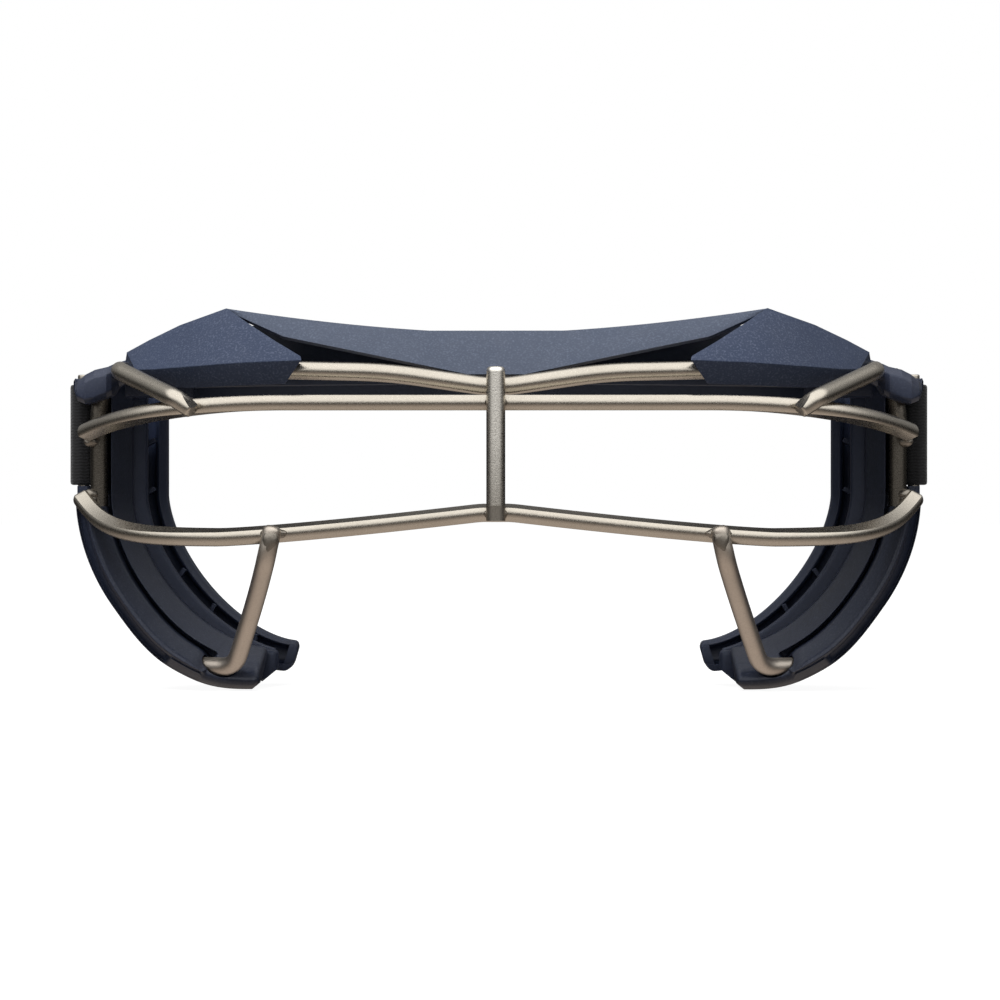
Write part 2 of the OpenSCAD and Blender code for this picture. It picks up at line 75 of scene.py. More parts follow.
def addCamera():
    data = bpy.data.cameras.new("camera")
    data.lens = view["lens"]
    data.sensor_width = 36
    data.clip_start = 0.01
    camera = placed("camera", data)
    camera.location = Vector(view["place"]) * mm
    camera.rotation_euler = (radians(90 + view["pitch"]), 0, radians(-view["yaw"]))
    bpy.context.scene.camera = camera


addCamera()
bpy.context.scene.view_settings.view_transform = "Standard"

# ---- small helpers ----


def mix(a, b, t):
    return a + (b - a) * t


def smooth(t):
    t = min(1.0, max(0.0, t))
    return t * t * (3 - 2 * t)


def newPiece(name, points, faces, scale=mm):
    data = bpy.data.meshes.new(name)
    data.from_pydata([tuple(c * scale for c in p) for p in points], [], faces)
    data.update()
    return placed(name, data)


def openMesh(piece):
    bm = bmesh.new()
    bm.from_mesh(piece.data)
    return bm


def closeMesh(bm, data):
    bm.to_mesh(data)
    bm.free()


def faceOutwards(piece, merge=1e-6):
    bm = openMesh(piece)
    bmesh.ops.remove_doubles(bm, verts=bm.verts, dist=merge)
    bmesh.ops.recalc_face_normals(bm, faces=bm.faces)
    if bm.calc_volume(signed=True) < 0:
        bmesh.ops.reverse_faces(bm, faces=bm.faces)
    closeMesh(bm, piece.data)


def applyAll(piece):
    # the evaluated shape becomes the piece's own plain mesh
    depsgraph = bpy.context.evaluated_depsgraph_get()
    baked = bpy.data.meshes.new_from_object(piece.evaluated_get(depsgraph))
    piece.modifiers.clear()
    piece.data = baked
    return piece


def bevelled(piece, width, segments=3, angle=28):
    edge = piece.modifiers.new("bevel", "BEVEL")
    edge.width = width * mm
    edge.segments = segments
    edge.limit_method = "ANGLE"
    edge.angle_limit = radians(angle)
    edge.use_clamp_overlap = True
    return applyAll(piece)


def shade(piece, angle=35):
    bm = openMesh(piece)
    limit = radians(angle)
    for edge in bm.edges:
        edge.smooth = not (edge.is_manifold and edge.calc_face_angle(0) > limit)
    for face in bm.faces:
        face.smooth = True
    closeMesh(bm, piece.data)


def combine(piece, tools, operation):
    for tool in tools:
        change = piece.modifiers.new("combine", "BOOLEAN")
        change.operation = operation
        change.solver = "EXACT"
        change.object = tool
        applyAll(piece)
        bpy.data.objects.remove(tool)


def cut(piece, *tools):
    combine(piece, tools, "DIFFERENCE")


def joined(piece, *tools):
    combine(piece, tools, "UNION")


def mirrored(piece, name):
    data = piece.data.copy()
    data.name = name
    data.transform(Matrix.Scale(-1, 4, (1, 0, 0)))
    data.flip_normals()
    return placed(name, data)


def ringFaces(n, count):
    # the side faces between rings of n points
    return [(j * n + i, j * n + (i + 1) % n, (j + 1) * n + (i + 1) % n, (j + 1) * n + i)
            for j in range(count - 1) for i in range(n)]


def loft(name, rings):
    # closed rings of equal point counts, with an n-gon at each end
    n = len(rings[0])
    points = [p for ring in rings for p in ring]
    ends = [tuple(reversed(range(n))), tuple(range(len(points) - n, len(points)))]
    piece = newPiece(name, points, ends + ringFaces(n, len(rings)))
    faceOutwards(piece)
    return piece


def rounded(corners, radii, steps=4):
    # a closed outline with each corner rounded; the point count depends on steps alone
    out = []
    n = len(corners)
    for i in range(n):
        here = Vector(corners[i])
        back = Vector(corners[i - 1]) - here
        on = Vector(corners[(i + 1) % n]) - here
        reach = min(radii[i], back.length * 0.45, on.length * 0.45)
        a = here + back.normalized() * reach
        b = here + on.normalized() * reach
        for s in range(steps + 1):
            t = s / steps
            out.append(tuple((a * (1 - t) + here * t) * (1 - t) + (here * (1 - t) + b * t) * t))
    return out


def insetCorners(corners, amount):
    # moves every side of a section inwards; the section's turning sense gives the inner side
    count = len(corners)
    sense = sum(a[0] * b[1] - b[0] * a[1] for a, b in zip(corners, corners[1:] + corners[:1]))
    sense = copysign(1.0, sense)
    made = []
    for k in range(count):
        before, here, after = (Vector(corners[(k + d) % count]) for d in (-1, 0, 1))
        first, second = (here - before).normalized(), (after - here).normalized()
        n1, n2 = Vector((-first.y, first.x)) * sense, Vector((-second.y, second.x)) * sense
        made.append(tuple(here + (n1 + n2) * amount / max(0.4, 1 + n1.dot(n2))))
    return made


# ---- materials ----


def newMaterial(name):
    material = bpy.data.materials.new(name)
    material.use_nodes = True
    tree = material.node_tree
    return material, tree, tree.nodes["Principled BSDF"]


def feed(tree, socket, value):
    # a link to the socket, or a value of its own
    if isinstance(value, bpy.types.NodeSocket):
        tree.links.new(value, socket)
    else:
        socket.default_value = value


def addNode(tree, kind, inputs, **settings):
    made = tree.nodes.new(kind)
    for key, value in settings.items():
        setattr(made, key, value)
    for key, value in inputs.items():
        feed(tree, made.inputs[key], value)
    return made


def noiseTexture(tree, where, scale, detail=2.0, rough=0.5):
    inputs = {"Vector": where, "Scale": scale, "Detail": detail, "Roughness": rough}
    return addNode(tree, "ShaderNodeTexNoise", inputs).outputs["Fac"]


def ranged(tree, value, low, high, outLow, outHigh):
    inputs = {"Value": value, "From Min": low, "From Max": high, "To Min": outLow, "To Max": outHigh}
    return addNode(tree, "ShaderNodeMapRange", inputs).outputs["Result"]


def math2(tree, operation, a, b=None):
    inputs = {0: a} if b is None else {0: a, 1: b}
    return addNode(tree, "ShaderNodeMath", inputs, operation=operation).outputs[0]


def mixColour(tree, share, a, b):
    a, b = ((*value, 1) if isinstance(value, tuple) else value for value in (a, b))
    return addNode(tree, "ShaderNodeMix", {"Factor": share, 6: a, 7: b}, data_type="RGBA").outputs[2]


def mixNumber(tree, share, a, b):
    return addNode(tree, "ShaderNodeMix", {0: share, 2: a, 3: b}).outputs[0]


def bump(tree, height, strength, distance):
    inputs = {"Height": height, "Strength": strength, "Distance": distance}
    return addNode(tree, "ShaderNodeBump", inputs).outputs["Normal"]


def objectPlace(tree):
    return tree.nodes.new("ShaderNodeTexCoord").outputs["Object"]


def fill(tree, shader, looks):
    for key, value in looks.items():
        feed(tree, shader.inputs[key], value)


def mouldedPlastic(name, colour, light, rough, sparkle, grain, gloss=0.26):
    # moulded plastic: fine flakes in the colour, a spark-eroded grain and soft patches
    material, tree, shader = newMaterial(name)
    place = objectPlace(tree)
    flakes = ranged(tree, noiseTexture(tree, place, 2600, 2.0), 0.5, 0.78, 0.0, sparkle)
    patches = ranged(tree, noiseTexture(tree, place, 60, 3.0), 0.3, 0.7, 0.0, 0.35)
    worn = mixColour(tree, patches, colour, tuple(c * 0.86 for c in colour))
    scuffs = noiseTexture(tree, place, 190, 5.0, 0.65)
    fill(tree, shader, {
        "Base Color": mixColour(tree, flakes, worn, light),
        "Roughness": ranged(tree, scuffs, 0.3, 0.7, rough - 0.05, rough + 0.07),
        "Normal": bump(tree, noiseTexture(tree, place, 2100, 2.0), grain, 0.00012),
        "Specular IOR Level": gloss})
    return material


def coatedWire(name, colour, dark, rough, above=None):
    # satin metallic coat over steel wire: a fine even grain and a few dull patches
    material, tree, shader = newMaterial(name)
    place = objectPlace(tree)
    specks = ranged(tree, noiseTexture(tree, place, 3600, 2.0, 0.6), 0.40, 0.68, 0.0, 0.26)
    dull = ranged(tree, noiseTexture(tree, place, 90, 3.0), 0.4, 0.75, 0.0, 0.18)
    coat = mixColour(tree, dull, mixColour(tree, specks, colour, dark), dark)
    if above:
        # painted highlight: the coat is made lighter towards the top, most along the middle of its front
        parts = addNode(tree, "ShaderNodeSeparateXYZ", {0: place}).outputs
        across = ranged(tree, math2(tree, "ABSOLUTE", parts["X"]), 0.0005, 0.0017, 1.0, 0.1)
        upward = ranged(tree, parts["Z"], -0.009, 0.009, 0.0, 1.0)
        coat = mixColour(tree, math2(tree, "MULTIPLY", upward, across), coat, above)
    fill(tree, shader, {
        "Base Color": coat,
        "Roughness": ranged(tree, noiseTexture(tree, place, 2600, 2.0), 0.3, 0.7, rough - 0.03, rough + 0.05),
        "Normal": bump(tree, noiseTexture(tree, place, 3300, 2.0), 0.5, 0.00003),
        "Metallic": 0.95})
    return material


def knitted(name, colour, light, ribPitch=0.00062, pickPitch=0.0013):
    # elastic webbing: ribs run along it, crossed by a fine zigzag of picks; u and v are metres
    material, tree, shader = newMaterial(name)
    spot = addNode(tree, "ShaderNodeUVMap", {}, uv_map="cloth")
    parts = addNode(tree, "ShaderNodeSeparateXYZ", {0: spot.outputs["UV"]}).outputs
    ribPhase = math2(tree, "MULTIPLY", parts[1], 2 * pi / ribPitch)
    rib = math2(tree, "ABSOLUTE", math2(tree, "SINE", math2(tree, "MULTIPLY", ribPhase, 0.5)))
    shift = math2(tree, "MULTIPLY", math2(tree, "SINE", ribPhase), 0.9)
    pickPhase = math2(tree, "ADD", math2(tree, "MULTIPLY", parts[0], 2 * pi / pickPitch), shift)
    pick = ranged(tree, math2(tree, "SINE", pickPhase), -1.0, 1.0, 0.0, 1.0)
    height = math2(tree, "ADD", math2(tree, "MULTIPLY", rib, 0.65), math2(tree, "MULTIPLY", pick, 0.45))
    fuzz = noiseTexture(tree, objectPlace(tree), 5200, 3.0, 0.7)
    rough = math2(tree, "ADD", height, math2(tree, "MULTIPLY", fuzz, 0.5))
    fill(tree, shader, {
        "Base Color": mixColour(tree, ranged(tree, rough, 0.35, 1.35, 0.0, 1.0), colour, light),
        "Normal": bump(tree, rough, 0.9, 0.00009),
        "Roughness": 0.85, "Specular IOR Level": 0.25, "Sheen Weight": 0.25, "Sheen Roughness": 0.5})
    return material


# colour, colour of the flakes, roughness, sparkle, grain and gloss
plastics = {
    "navyPlastic": ((0.062, 0.076, 0.112), (0.19, 0.23, 0.31), 0.50, 0.38, 0.26, 0.34),
    # the caps' plastic is the visor's navy made darker: painted shade on their front faces
    "shadedCapPlastic": ((0.036, 0.049, 0.088), (0.16, 0.19, 0.27), 0.46, 0.42, 0.28, 0.22),
    # the carrier's plastic is made lighter: painted light where it sits in shade
    "smoothLitPlastic": ((0.046, 0.055, 0.082), (0.08, 0.10, 0.14), 0.40, 0.2, 0.08),
    "shellPlastic": ((0.021, 0.027, 0.048), (0.08, 0.09, 0.13), 0.36, 0.35, 0.26, 0.36),
    "lugPlastic": ((0.027, 0.034, 0.060), (0.09, 0.10, 0.14), 0.34, 0.25, 0.10, 0.34),
    "padRubber": ((0.024, 0.032, 0.060), (0.05, 0.06, 0.09), 0.42, 0.2, 0.14, 0.32),
    "thread": ((0.020, 0.020, 0.022), (0.06, 0.06, 0.065), 0.65, 0.3, 0.3),
    "acetal": ((0.011, 0.011, 0.012), (0.03, 0.03, 0.03), 0.32, 0.15, 0.10)}

# colour, colour of the specks, roughness and the colour of the painted highlight, where there is one
coats = {
    "wireCoat": ((0.50, 0.460, 0.395), (0.27, 0.240, 0.20), 0.27),
    # the centre bar's coat carries a painted highlight high on its front
    "highlitCentreCoat": ((0.50, 0.460, 0.395), (0.27, 0.240, 0.20), 0.27, (1.0, 0.96, 0.88)),
    "legCoat": ((0.54, 0.485, 0.42), (0.30, 0.26, 0.22), 0.42),
    # the side posts' coat is the wire coat made darker: painted shade
    "shadedPostCoat": ((0.14, 0.125, 0.105), (0.07, 0.06, 0.05), 0.28),
    "weldCoat": ((0.27, 0.245, 0.21), (0.12, 0.105, 0.09), 0.40),
    "scarCoat": ((0.11, 0.095, 0.08), (0.05, 0.04, 0.035), 0.50)}

materials = {name: mouldedPlastic(name, *look) for name, look in plastics.items()}
materials.update({name: coatedWire(name, *look) for name, look in coats.items()})
materials["strapKnit"] = knitted("strapKnit", (0.004, 0.004, 0.0045), (0.020, 0.020, 0.022))


def dress(piece, finish, slotName, *nodes, body="root"):
    if finish:
        piece.data.materials.clear()
        piece.data.materials.append(materials[finish])
    if nodes:
        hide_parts(*nodes)
    if body:
        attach(piece, body)


def dressPair(piece, name, finish, slotName, nodeName):
    other = mirrored(piece, name + ".left")
    for half, word in ((piece, "right"), (other, "left")):
        dress(half, finish, slotName, nodeName + "_" + word)
    return piece, other


print("materials made")


# ---- wires: a tree sweeps a round or flattened section along a polyline ----


def addInput(tree, name, kind, value=None):
    socket = tree.interface.new_socket(name=name, in_out="INPUT", socket_type=kind)
    if value is not None:
        socket.default_value = value
    return socket.identifier


def namedValue(tree, name, kind="FLOAT"):
    made = addNode(tree, "GeometryNodeInputNamedAttribute", {"Name": name}, data_type=kind)
    return made.outputs["Attribute"]


def finishTree(tree, shape, finish):
    # what both trees end in: real geometry with its finish
    real = addNode(tree, "GeometryNodeRealizeInstances", {0: shape}).outputs[0]
    done = addNode(tree, "GeometryNodeSetMaterial", {"Geometry": real, "Material": finish}).outputs[0]
    addNode(tree, "NodeGroupOutput", {0: done})


def newTree(name, shape):
    tree = bpy.data.node_groups.new(name, "GeometryNodeTree")
    tree.interface.new_socket(name=shape, in_out="INPUT", socket_type="NodeSocketGeometry")
    tree.interface.new_socket(name="Shape", in_out="OUTPUT", socket_type="NodeSocketGeometry")
    return tree


def makeSweepTree():
    tree = newTree("wireSweep", "Path")
    keys = {"flat": addInput(tree, "Flat share", "NodeSocketFloat", 1.0),
            "sides": addInput(tree, "Sides", "NodeSocketInt", 32),
            "material": addInput(tree, "Finish", "NodeSocketMaterial")}
    start = tree.nodes.new("NodeGroupInput").outputs
    width = namedValue(tree, "wireRadius")
    curve = addNode(tree, "GeometryNodeMeshToCurve", {0: start["Path"]}).outputs[0]
    curve = addNode(tree, "GeometryNodeSetCurveNormal", {"Curve": curve}, mode="Z_UP").outputs[0]
    turned = {"Curve": curve, "Tilt": namedValue(tree, "wireTurn")}
    curve = addNode(tree, "GeometryNodeSetCurveTilt", turned).outputs[0]
    curve = addNode(tree, "GeometryNodeSetCurveRadius", {"Curve": curve, "Radius": width}).outputs[0]
    # the section: a circle cut off flat above and below
    circle = {"Radius": 1.0, "Resolution": start["Sides"]}
    circle = addNode(tree, "GeometryNodeCurvePrimitiveCircle", circle).outputs["Curve"]
    place = tree.nodes.new("GeometryNodeInputPosition").outputs[0]
    parts = addNode(tree, "ShaderNodeSeparateXYZ", {0: place}).outputs
    limits = {"Value": parts["Y"], "Min": math2(tree, "MULTIPLY", start["Flat share"], -1.0),
              "Max": start["Flat share"]}
    level = addNode(tree, "ShaderNodeClamp", limits).outputs[0]
    place = addNode(tree, "ShaderNodeCombineXYZ", {"X": parts["X"], "Y": level}).outputs[0]
    section = addNode(tree, "GeometryNodeSetPosition", {"Geometry": circle, "Position": place}).outputs[0]
    wire = {"Curve": curve, "Profile Curve": section, "Scale": width, "Fill Caps": True}
    wire = addNode(tree, "GeometryNodeCurveToMesh", wire).outputs[0]
    finishTree(tree, addNode(tree, "GeometryNodeSetShadeSmooth", {0: wire}).outputs[0], start["Finish"])
    return tree, keys


sweepTree, sweepKeys = makeSweepTree()


def makeScatterTree():
    # one small web or stitch on each point, turned and sized by the point's own values
    tree = newTree("scatter", "Points")
    keys = {"material": addInput(tree, "Finish", "NodeSocketMaterial")}
    start = tree.nodes.new("NodeGroupInput").outputs
    box = addNode(tree, "GeometryNodeMeshCube", {"Size": (1, 1, 1)}).outputs["Mesh"]
    turn, size = (namedValue(tree, name, "FLOAT_VECTOR") for name in ("pieceTurn", "pieceSize"))
    turn = addNode(tree, "FunctionNodeEulerToRotation", {0: turn}).outputs[0]
    spread = {"Points": start["Points"], "Instance": box, "Rotation": turn, "Scale": size}
    finishTree(tree, addNode(tree, "GeometryNodeInstanceOnPoints", spread).outputs[0], start["Finish"])
    return tree, keys


scatterTree, scatterKeys = makeScatterTree()


def baked(piece, tree, values):
    # runs a tree on the piece and keeps its result as plain mesh
    modifier = piece.modifiers.new("shape", "NODES")
    modifier.node_group = tree
    for key, value in values.items():
        modifier[key] = value
    return applyAll(piece)


def scatterPiece(name, places, finish):
    # places: rows of point, turn and size
    points, turns, sizes = zip(*places)
    piece = newPiece(name, [Vector(point) * mm for point in points], [], 1.0)
    for key, values in (("pieceTurn", turns), ("pieceSize", [Vector(size) * mm for size in sizes])):
        attribute = piece.data.attributes.new(key, "FLOAT_VECTOR", "POINT")
        attribute.data.foreach_set("vector", [c for value in values for c in value])
    baked(piece, scatterTree, {scatterKeys["material"]: materials[finish]})
    shade(piece, 40)
    return piece


def bentPath(corners, bends, step=0.7):
    # straights joined by arcs of the given radii, as one polyline
    corners = [Vector(c) for c in corners]
    path = [corners[0]]
    for i in range(1, len(corners) - 1):
        back = (corners[i - 1] - corners[i]).normalized()
        on = (corners[i + 1] - corners[i]).normalized()
        half = acos(max(-1, min(1, back.dot(on)))) / 2
        radius = bends[i - 1]
        reach = radius / tan(half)
        centre = corners[i] + (back + on).normalized() * radius / sin(half)
        first = corners[i] + back * reach - centre
        turn = pi - 2 * half
        other = -back * radius
        count = max(3, int(turn * radius / step))
        path += [centre + first * cos(turn * k / count) + other * sin(turn * k / count)
                 for k in range(count + 1)]
    path.append(corners[-1])
    return path


def runningLengths(points):
    lengths = [0.0]
    for a, b in zip(points, points[1:]):
        lengths.append(lengths[-1] + (b - a).length)
    return lengths


def stations(path, radius, roundStart, roundEnd, step=0.8):
    # points along the path, closer together at rounded ends, with the radius at each
    lengths = runningLengths(path)
    total = lengths[-1]
    wanted = [step * k for k in range(1, int(total / step))] + [0, total]
    for share in (0.03, 0.1, 0.22, 0.4, 0.65, 1.0):
        wanted += [share * roundStart, total - share * roundEnd]
    wanted = sorted(set(round(w, 4) for w in wanted if 0 <= w <= total))
    out = []
    k = 0
    for w in wanted:
        while k < len(lengths) - 2 and lengths[k + 1] < w:
            k += 1
        span = max(lengths[k + 1] - lengths[k], 1e-9)
        point = path[k].lerp(path[k + 1], (w - lengths[k]) / span)
        here = radius
        for distance, edge in ((w, roundStart), (total - w, roundEnd)):
            if edge > 0 and distance < edge:
                here -= edge - sqrt(max(0.0, edge * edge - (edge - distance) ** 2))
        out.append((point, max(here, 0.05)))
    return out


def sweepPiece(name, path, radius, flat=1.0, roundStart=0.6, roundEnd=0.6, finish="wireCoat", sides=32,
               step=0.8, turnAt=None):
    rows = stations(path, radius, roundStart, roundEnd, step)
    data = bpy.data.meshes.new(name)
    data.from_pydata([tuple(p * mm) for p, r in rows], [(i, i + 1) for i in range(len(rows) - 1)], [])
    values = {"wireRadius": [r * mm for p, r in rows]}
    if turnAt:
        values["wireTurn"] = [radians(turnAt(p)) for p, r in rows]
    for key, row in values.items():
        data.attributes.new(key, "FLOAT", "POINT").data.foreach_set("value", row)
    piece = placed(name, data)
    baked(piece, sweepTree, {sweepKeys["flat"]: flat, sweepKeys["sides"]: sides,
                             sweepKeys["material"]: materials[finish]})
    faceOutwards(piece)
    shade(piece, 50)
    return piece


cage = {"wireRadius": 1.8, "barDepth": 3.7, "barHeight": 2.9, "flat": 40.6, "cornerRadius": 46.0,
        "cornerTurn": 57.0, "run": 5.5, "stagger": 0.9, "upperZ": 15.7, "upperTilt": 12.8, "lowerMidZ": -5.3,
        "lowerLowZ": -10.0, "lowerEndZ": -2.8, "lowerFall": 50, "browMidZ": 18.9, "browSideZ": 22.1,
        "weldGap": 0.03, "upperTurn": (0, -26), "lowerTurn": (20, 34)}
wireR = cage["wireRadius"]
barY = front + 2 * wireR + cage["weldGap"] + cage["barDepth"] / 2
cornerArc = cage["cornerRadius"] * radians(cage["cornerTurn"])
barHalf = cage["flat"] + cornerArc + cage["run"]
turnRad = radians(cage["cornerTurn"])
barEnd = (cage["flat"] + cage["cornerRadius"] * sin(turnRad) + cage["run"] * cos(turnRad),
          barY + cage["cornerRadius"] * (1 - cos(turnRad)) + cage["run"] * sin(turnRad))
postReach = cage["barDepth"] / 2 + wireR + cage["weldGap"]
postAt = (barEnd[0] - postReach * sin(turnRad), barEnd[1] + postReach * cos(turnRad))


def barPlan(s):
    side, s = (-1 if s < 0 else 1), abs(s)
    r, flat = cage["cornerRadius"], cage["flat"]
    if s <= flat:
        return Vector((side * s, barY, 0))
    if s <= flat + cornerArc:
        a = (s - flat) / r
        return Vector((side * (flat + r * sin(a)), barY + r * (1 - cos(a)), 0))
    d = s - flat - cornerArc
    return Vector((side * (flat + r * sin(turnRad) + d * cos(turnRad)),
                   barY + r * (1 - cos(turnRad)) + d * sin(turnRad), 0))


def upperBarAt(s):
    p = barPlan(s)
    tilt = radians(cage["upperTilt"])
    d = p.y - barY
    return Vector((p.x, barY + d * cos(tilt), cage["upperZ"] - d * sin(tilt)))


def lowerBarAt(s):
    p = barPlan(s)
    dip = 1 - (1 - min(1.0, max(0.0, abs(p.x) - 3) / cage["lowerFall"])) ** 1.25
    rise = (max(0.0, p.y - barY) / (barEnd[1] - barY)) ** 2.6
    z = mix(cage["lowerMidZ"], cage["lowerLowZ"], dip) + (cage["lowerEndZ"] - cage["lowerLowZ"]) * rise
    return Vector((p.x, p.y, z))


def makeBars():
    # the flats turn along each bar: the upper bar's underside and the lower bar's top come to the front
    count = 150
    for name, place, nodeName, more, (middle, end) in (
            ("upperBar", upperBarAt, "upper_bar", -cage["stagger"], cage["upperTurn"]),
            ("lowerBar", lowerBarAt, "lower_bar", cage["stagger"], cage["lowerTurn"])):
        half = barHalf + more
        path = [place(mix(-half, half, k / count)) for k in range(count + 1)]
        bar = sweepPiece(name, path, cage["barDepth"] / 2, cage["barHeight"] / cage["barDepth"], 1.0, 1.0,
                         sides=48, turnAt=lambda p: mix(middle, end, smooth((abs(p.x) - 46) / 30)))
        shade(bar, 30)
        dressWire(bar, nodeName)


browWireY = barY + 2.4
browWireBends = [90, 28, 90]
# from the middle out to one end
browWirePath = [(0, browWireY, cage["browMidZ"] - 0.3), (21, browWireY + 0.6, cage["browSideZ"] - 0.5),
                (44.5, front + 10.6, cage["browSideZ"] + 0.1)]
centreZs = (cage["lowerMidZ"] - cage["barHeight"] / 2 + 0.2, cage["browMidZ"] + 2 * wireR)
postPath = [(57.7, front + 4.0, 14.3), (61.4, front + 5.2, 16.7), (74, front + 22, 22.4),
            (73, front + 33, 22.4)]
postBends = [3.5, 5]
# the flats ground on a brow post's lower end: a point on each and the way it faces
postFlats = [((60.1, front + 2.75, 16.9), (-0.12, -0.72, 0.68), "scarCoat"),
             ((58.3, front + 3.5, 15.6), (-0.66, -0.42, 0.62), None)]
# side post: how far in from its foot and how high, bending in under the lug
sidePostPath = [(0, -8), (0, 14), (0.8, 19.5)]
legX = 42.3
legPath = [(legX, front + wireR, cage["lowerLowZ"] + 2.3),
           (legX + 1.4, front + wireR + 0.1, cage["lowerLowZ"] - 4.4), (legX + 4.2, front + 14.6, -22),
           (legX + 9.4, front + 27.0, -35.8), (legX + 18.4, front + 32.6, -35.8)]
legBends = [6, 60, 6]


def groundFlat(piece, point, normal, finish=None):
    # grinds a flat on the piece where it passes the plane
    bm = openMesh(piece)
    made = bmesh.ops.bisect_plane(bm, geom=bm.verts[:] + bm.edges[:] + bm.faces[:],
                                  plane_co=Vector(point) * mm, plane_no=Vector(normal), clear_outer=True)
    rim = [e for e in made["geom_cut"] if isinstance(e, bmesh.types.BMEdge)]
    bmesh.ops.edgenet_fill(bm, edges=rim)
    closeMesh(bm, piece.data)
    faceOutwards(piece)
    shade(piece, 40)
    if finish:
        piece.data.materials.append(materials[finish])
        for face in piece.data.polygons:
            if face.normal.dot(Vector(normal).normalized()) > 0.999:
                face.material_index = len(piece.data.materials) - 1


def sided(path, side):
    return [(side * p[0], p[1], p[2]) for p in path]


def dressWire(wire, nodeName):
    dress(wire, None, "cage_wire", nodeName)


def makeWires():
    path = bentPath(sided(browWirePath[:0:-1], -1) + browWirePath, browWireBends)
    dressWire(sweepPiece("browWire", path, wireR), "brow_wire")
    upright = [Vector((0, front + wireR, z)) for z in centreZs]
    # the centre bar wears the coat with the painted highlight
    dressWire(sweepPiece("centreBar", upright, wireR, roundStart=0.7, roundEnd=0.8, finish="highlitCentreCoat"),
              "centre_bar")
    for word, side in (("left", -1), ("right", 1)):
        post = sweepPiece("browPost." + word, bentPath(sided(postPath, side), postBends), wireR,
                          roundStart=0.5, step=0.5)
        for point, normal, finish in postFlats:
            groundFlat(post, *sided([point, normal], side), finish)
        dressWire(post, "brow_post_" + word)
        upright = [Vector((side * (postAt[0] - inward), postAt[1], z)) for inward, z in sidePostPath]
        # the side posts wear the darkened coat, painted shade
        dressWire(sweepPiece("sidePost." + word, bentPath(upright, [14]), wireR, finish="shadedPostCoat"),
                  "side_post_" + word)
        dressWire(sweepPiece("cheekLeg." + word, bentPath(sided(legPath, side), legBends), wireR,
                             roundStart=1.2, finish="legCoat"), "cheek_leg_" + word)


makeBars()
makeWires()
print("wires made")


def weldBead(bm, centre, size, seed, tip=0.0, lean=0.0, lumps=0.10):
    # a lumpy drop of metal; tip draws its lower half out to a point, lean tilts it in the front view
    made = bmesh.ops.create_icosphere(bm, subdivisions=4, radius=1.0)
    turn = Matrix.Rotation(lean, 3, "Y")
    for v in made["verts"]:
        bulge = 1 + lumps * noise.noise(v.co * 2.1 + Vector((seed, seed * 2, 3))) \
            + 0.4 * lumps * noise.noise(v.co * 6.3 + Vector((seed * 3, 1, seed)))
        low = max(0.0, -v.co.z)
        slim = 1 - tip * 0.75 * low ** 2
        p = Vector((v.co.x * size[0] * slim, v.co.y * size[1], v.co.z * size[2] * (1 + tip * low))) * bulge
        v.co = (turn @ p + Vector(centre)) * mm


def pieceFromBmesh(name, bm):
    data = bpy.data.meshes.new(name)
    closeMesh(bm, data)
    piece = placed(name, data)
    shade(piece, 60)
    return piece


# each bead's half width, depth and height
weldSize = {"behind": (1.7, 1.7, 1.6), "upper": (2.15, 1.4, 1.2), "lower": (2.3, 1.5, 1.3),
            "sleeve": (1.84, 1.84, 2.9), "drop": (1.5, 0.95, 1.9), "leg": (2.6, 1.3, 1.1),
            "post": (1.5, 1.3, 1.1), "core": (1.6, 1.6, 1.5), "brow": (1.9, 1.6, 1.2)}


def makeWelds():
    bm = bmesh.new()
    # behind the middle bar, and the scars that show beside it
    weldBead(bm, (0, browWireY - wireR - 1, cage["browMidZ"]), weldSize["behind"], 1)
    for z, key in ((cage["upperZ"], "upper"), (cage["lowerMidZ"] - 0.2, "lower")):
        weldBead(bm, (0, front + 3.5, z), weldSize[key], 2 + z)
    sleeve = bmesh.ops.create_cone(bm, cap_ends=True, segments=40, radius1=1.0, radius2=1.0, depth=1.0)
    wide, deep, high = weldSize["sleeve"]
    for v in sleeve["verts"]:
        v.co = Vector((v.co.x * wide, v.co.y * deep + front + wireR,
                       v.co.z * high + cage["lowerMidZ"] - 0.05)) * mm
    for side in (-1, 1):
        leg = lowerBarAt(side * legX)
        weldBead(bm, (leg.x + side * 0.45, front + wireR - 1.0, leg.z - 0.9), weldSize["drop"], 4 + side,
                 0.75, side * -0.2, 0.04)
        weldBead(bm, (leg.x, leg.y - 1.5, leg.z + 0.1), weldSize["leg"], 5 + side)
        # beads above and below each bar at the side posts
        upperEnd = cage["upperZ"] - (barEnd[1] - barY) * tan(radians(cage["upperTilt"]))
        at = (side * (barEnd[0] - 1.75 * sin(turnRad)), barEnd[1] + 1.75 * cos(turnRad))
        for z in (upperEnd + 1.2, upperEnd - 1.3, cage["lowerEndZ"] + 1.0):
            weldBead(bm, (at[0] - side * 0.2, at[1] - 0.3, z), weldSize["post"], 7 + side + z, lumps=0.05)
        for z in (upperEnd, cage["lowerEndZ"]):
            weldBead(bm, (*at, z), weldSize["core"], 8 + side + z, lumps=0.05)
        weldBead(bm, (side * 58.9, front + 5.6, 14.6), weldSize["brow"], 11 + side)
    dress(pieceFromBmesh("cageWelds", bm), "weldCoat", "cage_wire", "cage_welds")


makeWelds()

# ---- moulded frame ----

brow = {"radius": 85.0, "padDepth": 3.4, "wall": 2.6, "topZ": 29.4, "padTurn": 46.5, "padLow": 15.6,
        "padHigh": 29.1}
carrierR = brow["radius"] + brow["padDepth"] + 0.1


def carrierFront(x):
    return brow["radius"] - sqrt((carrierR + brow["wall"]) ** 2 - x * x)


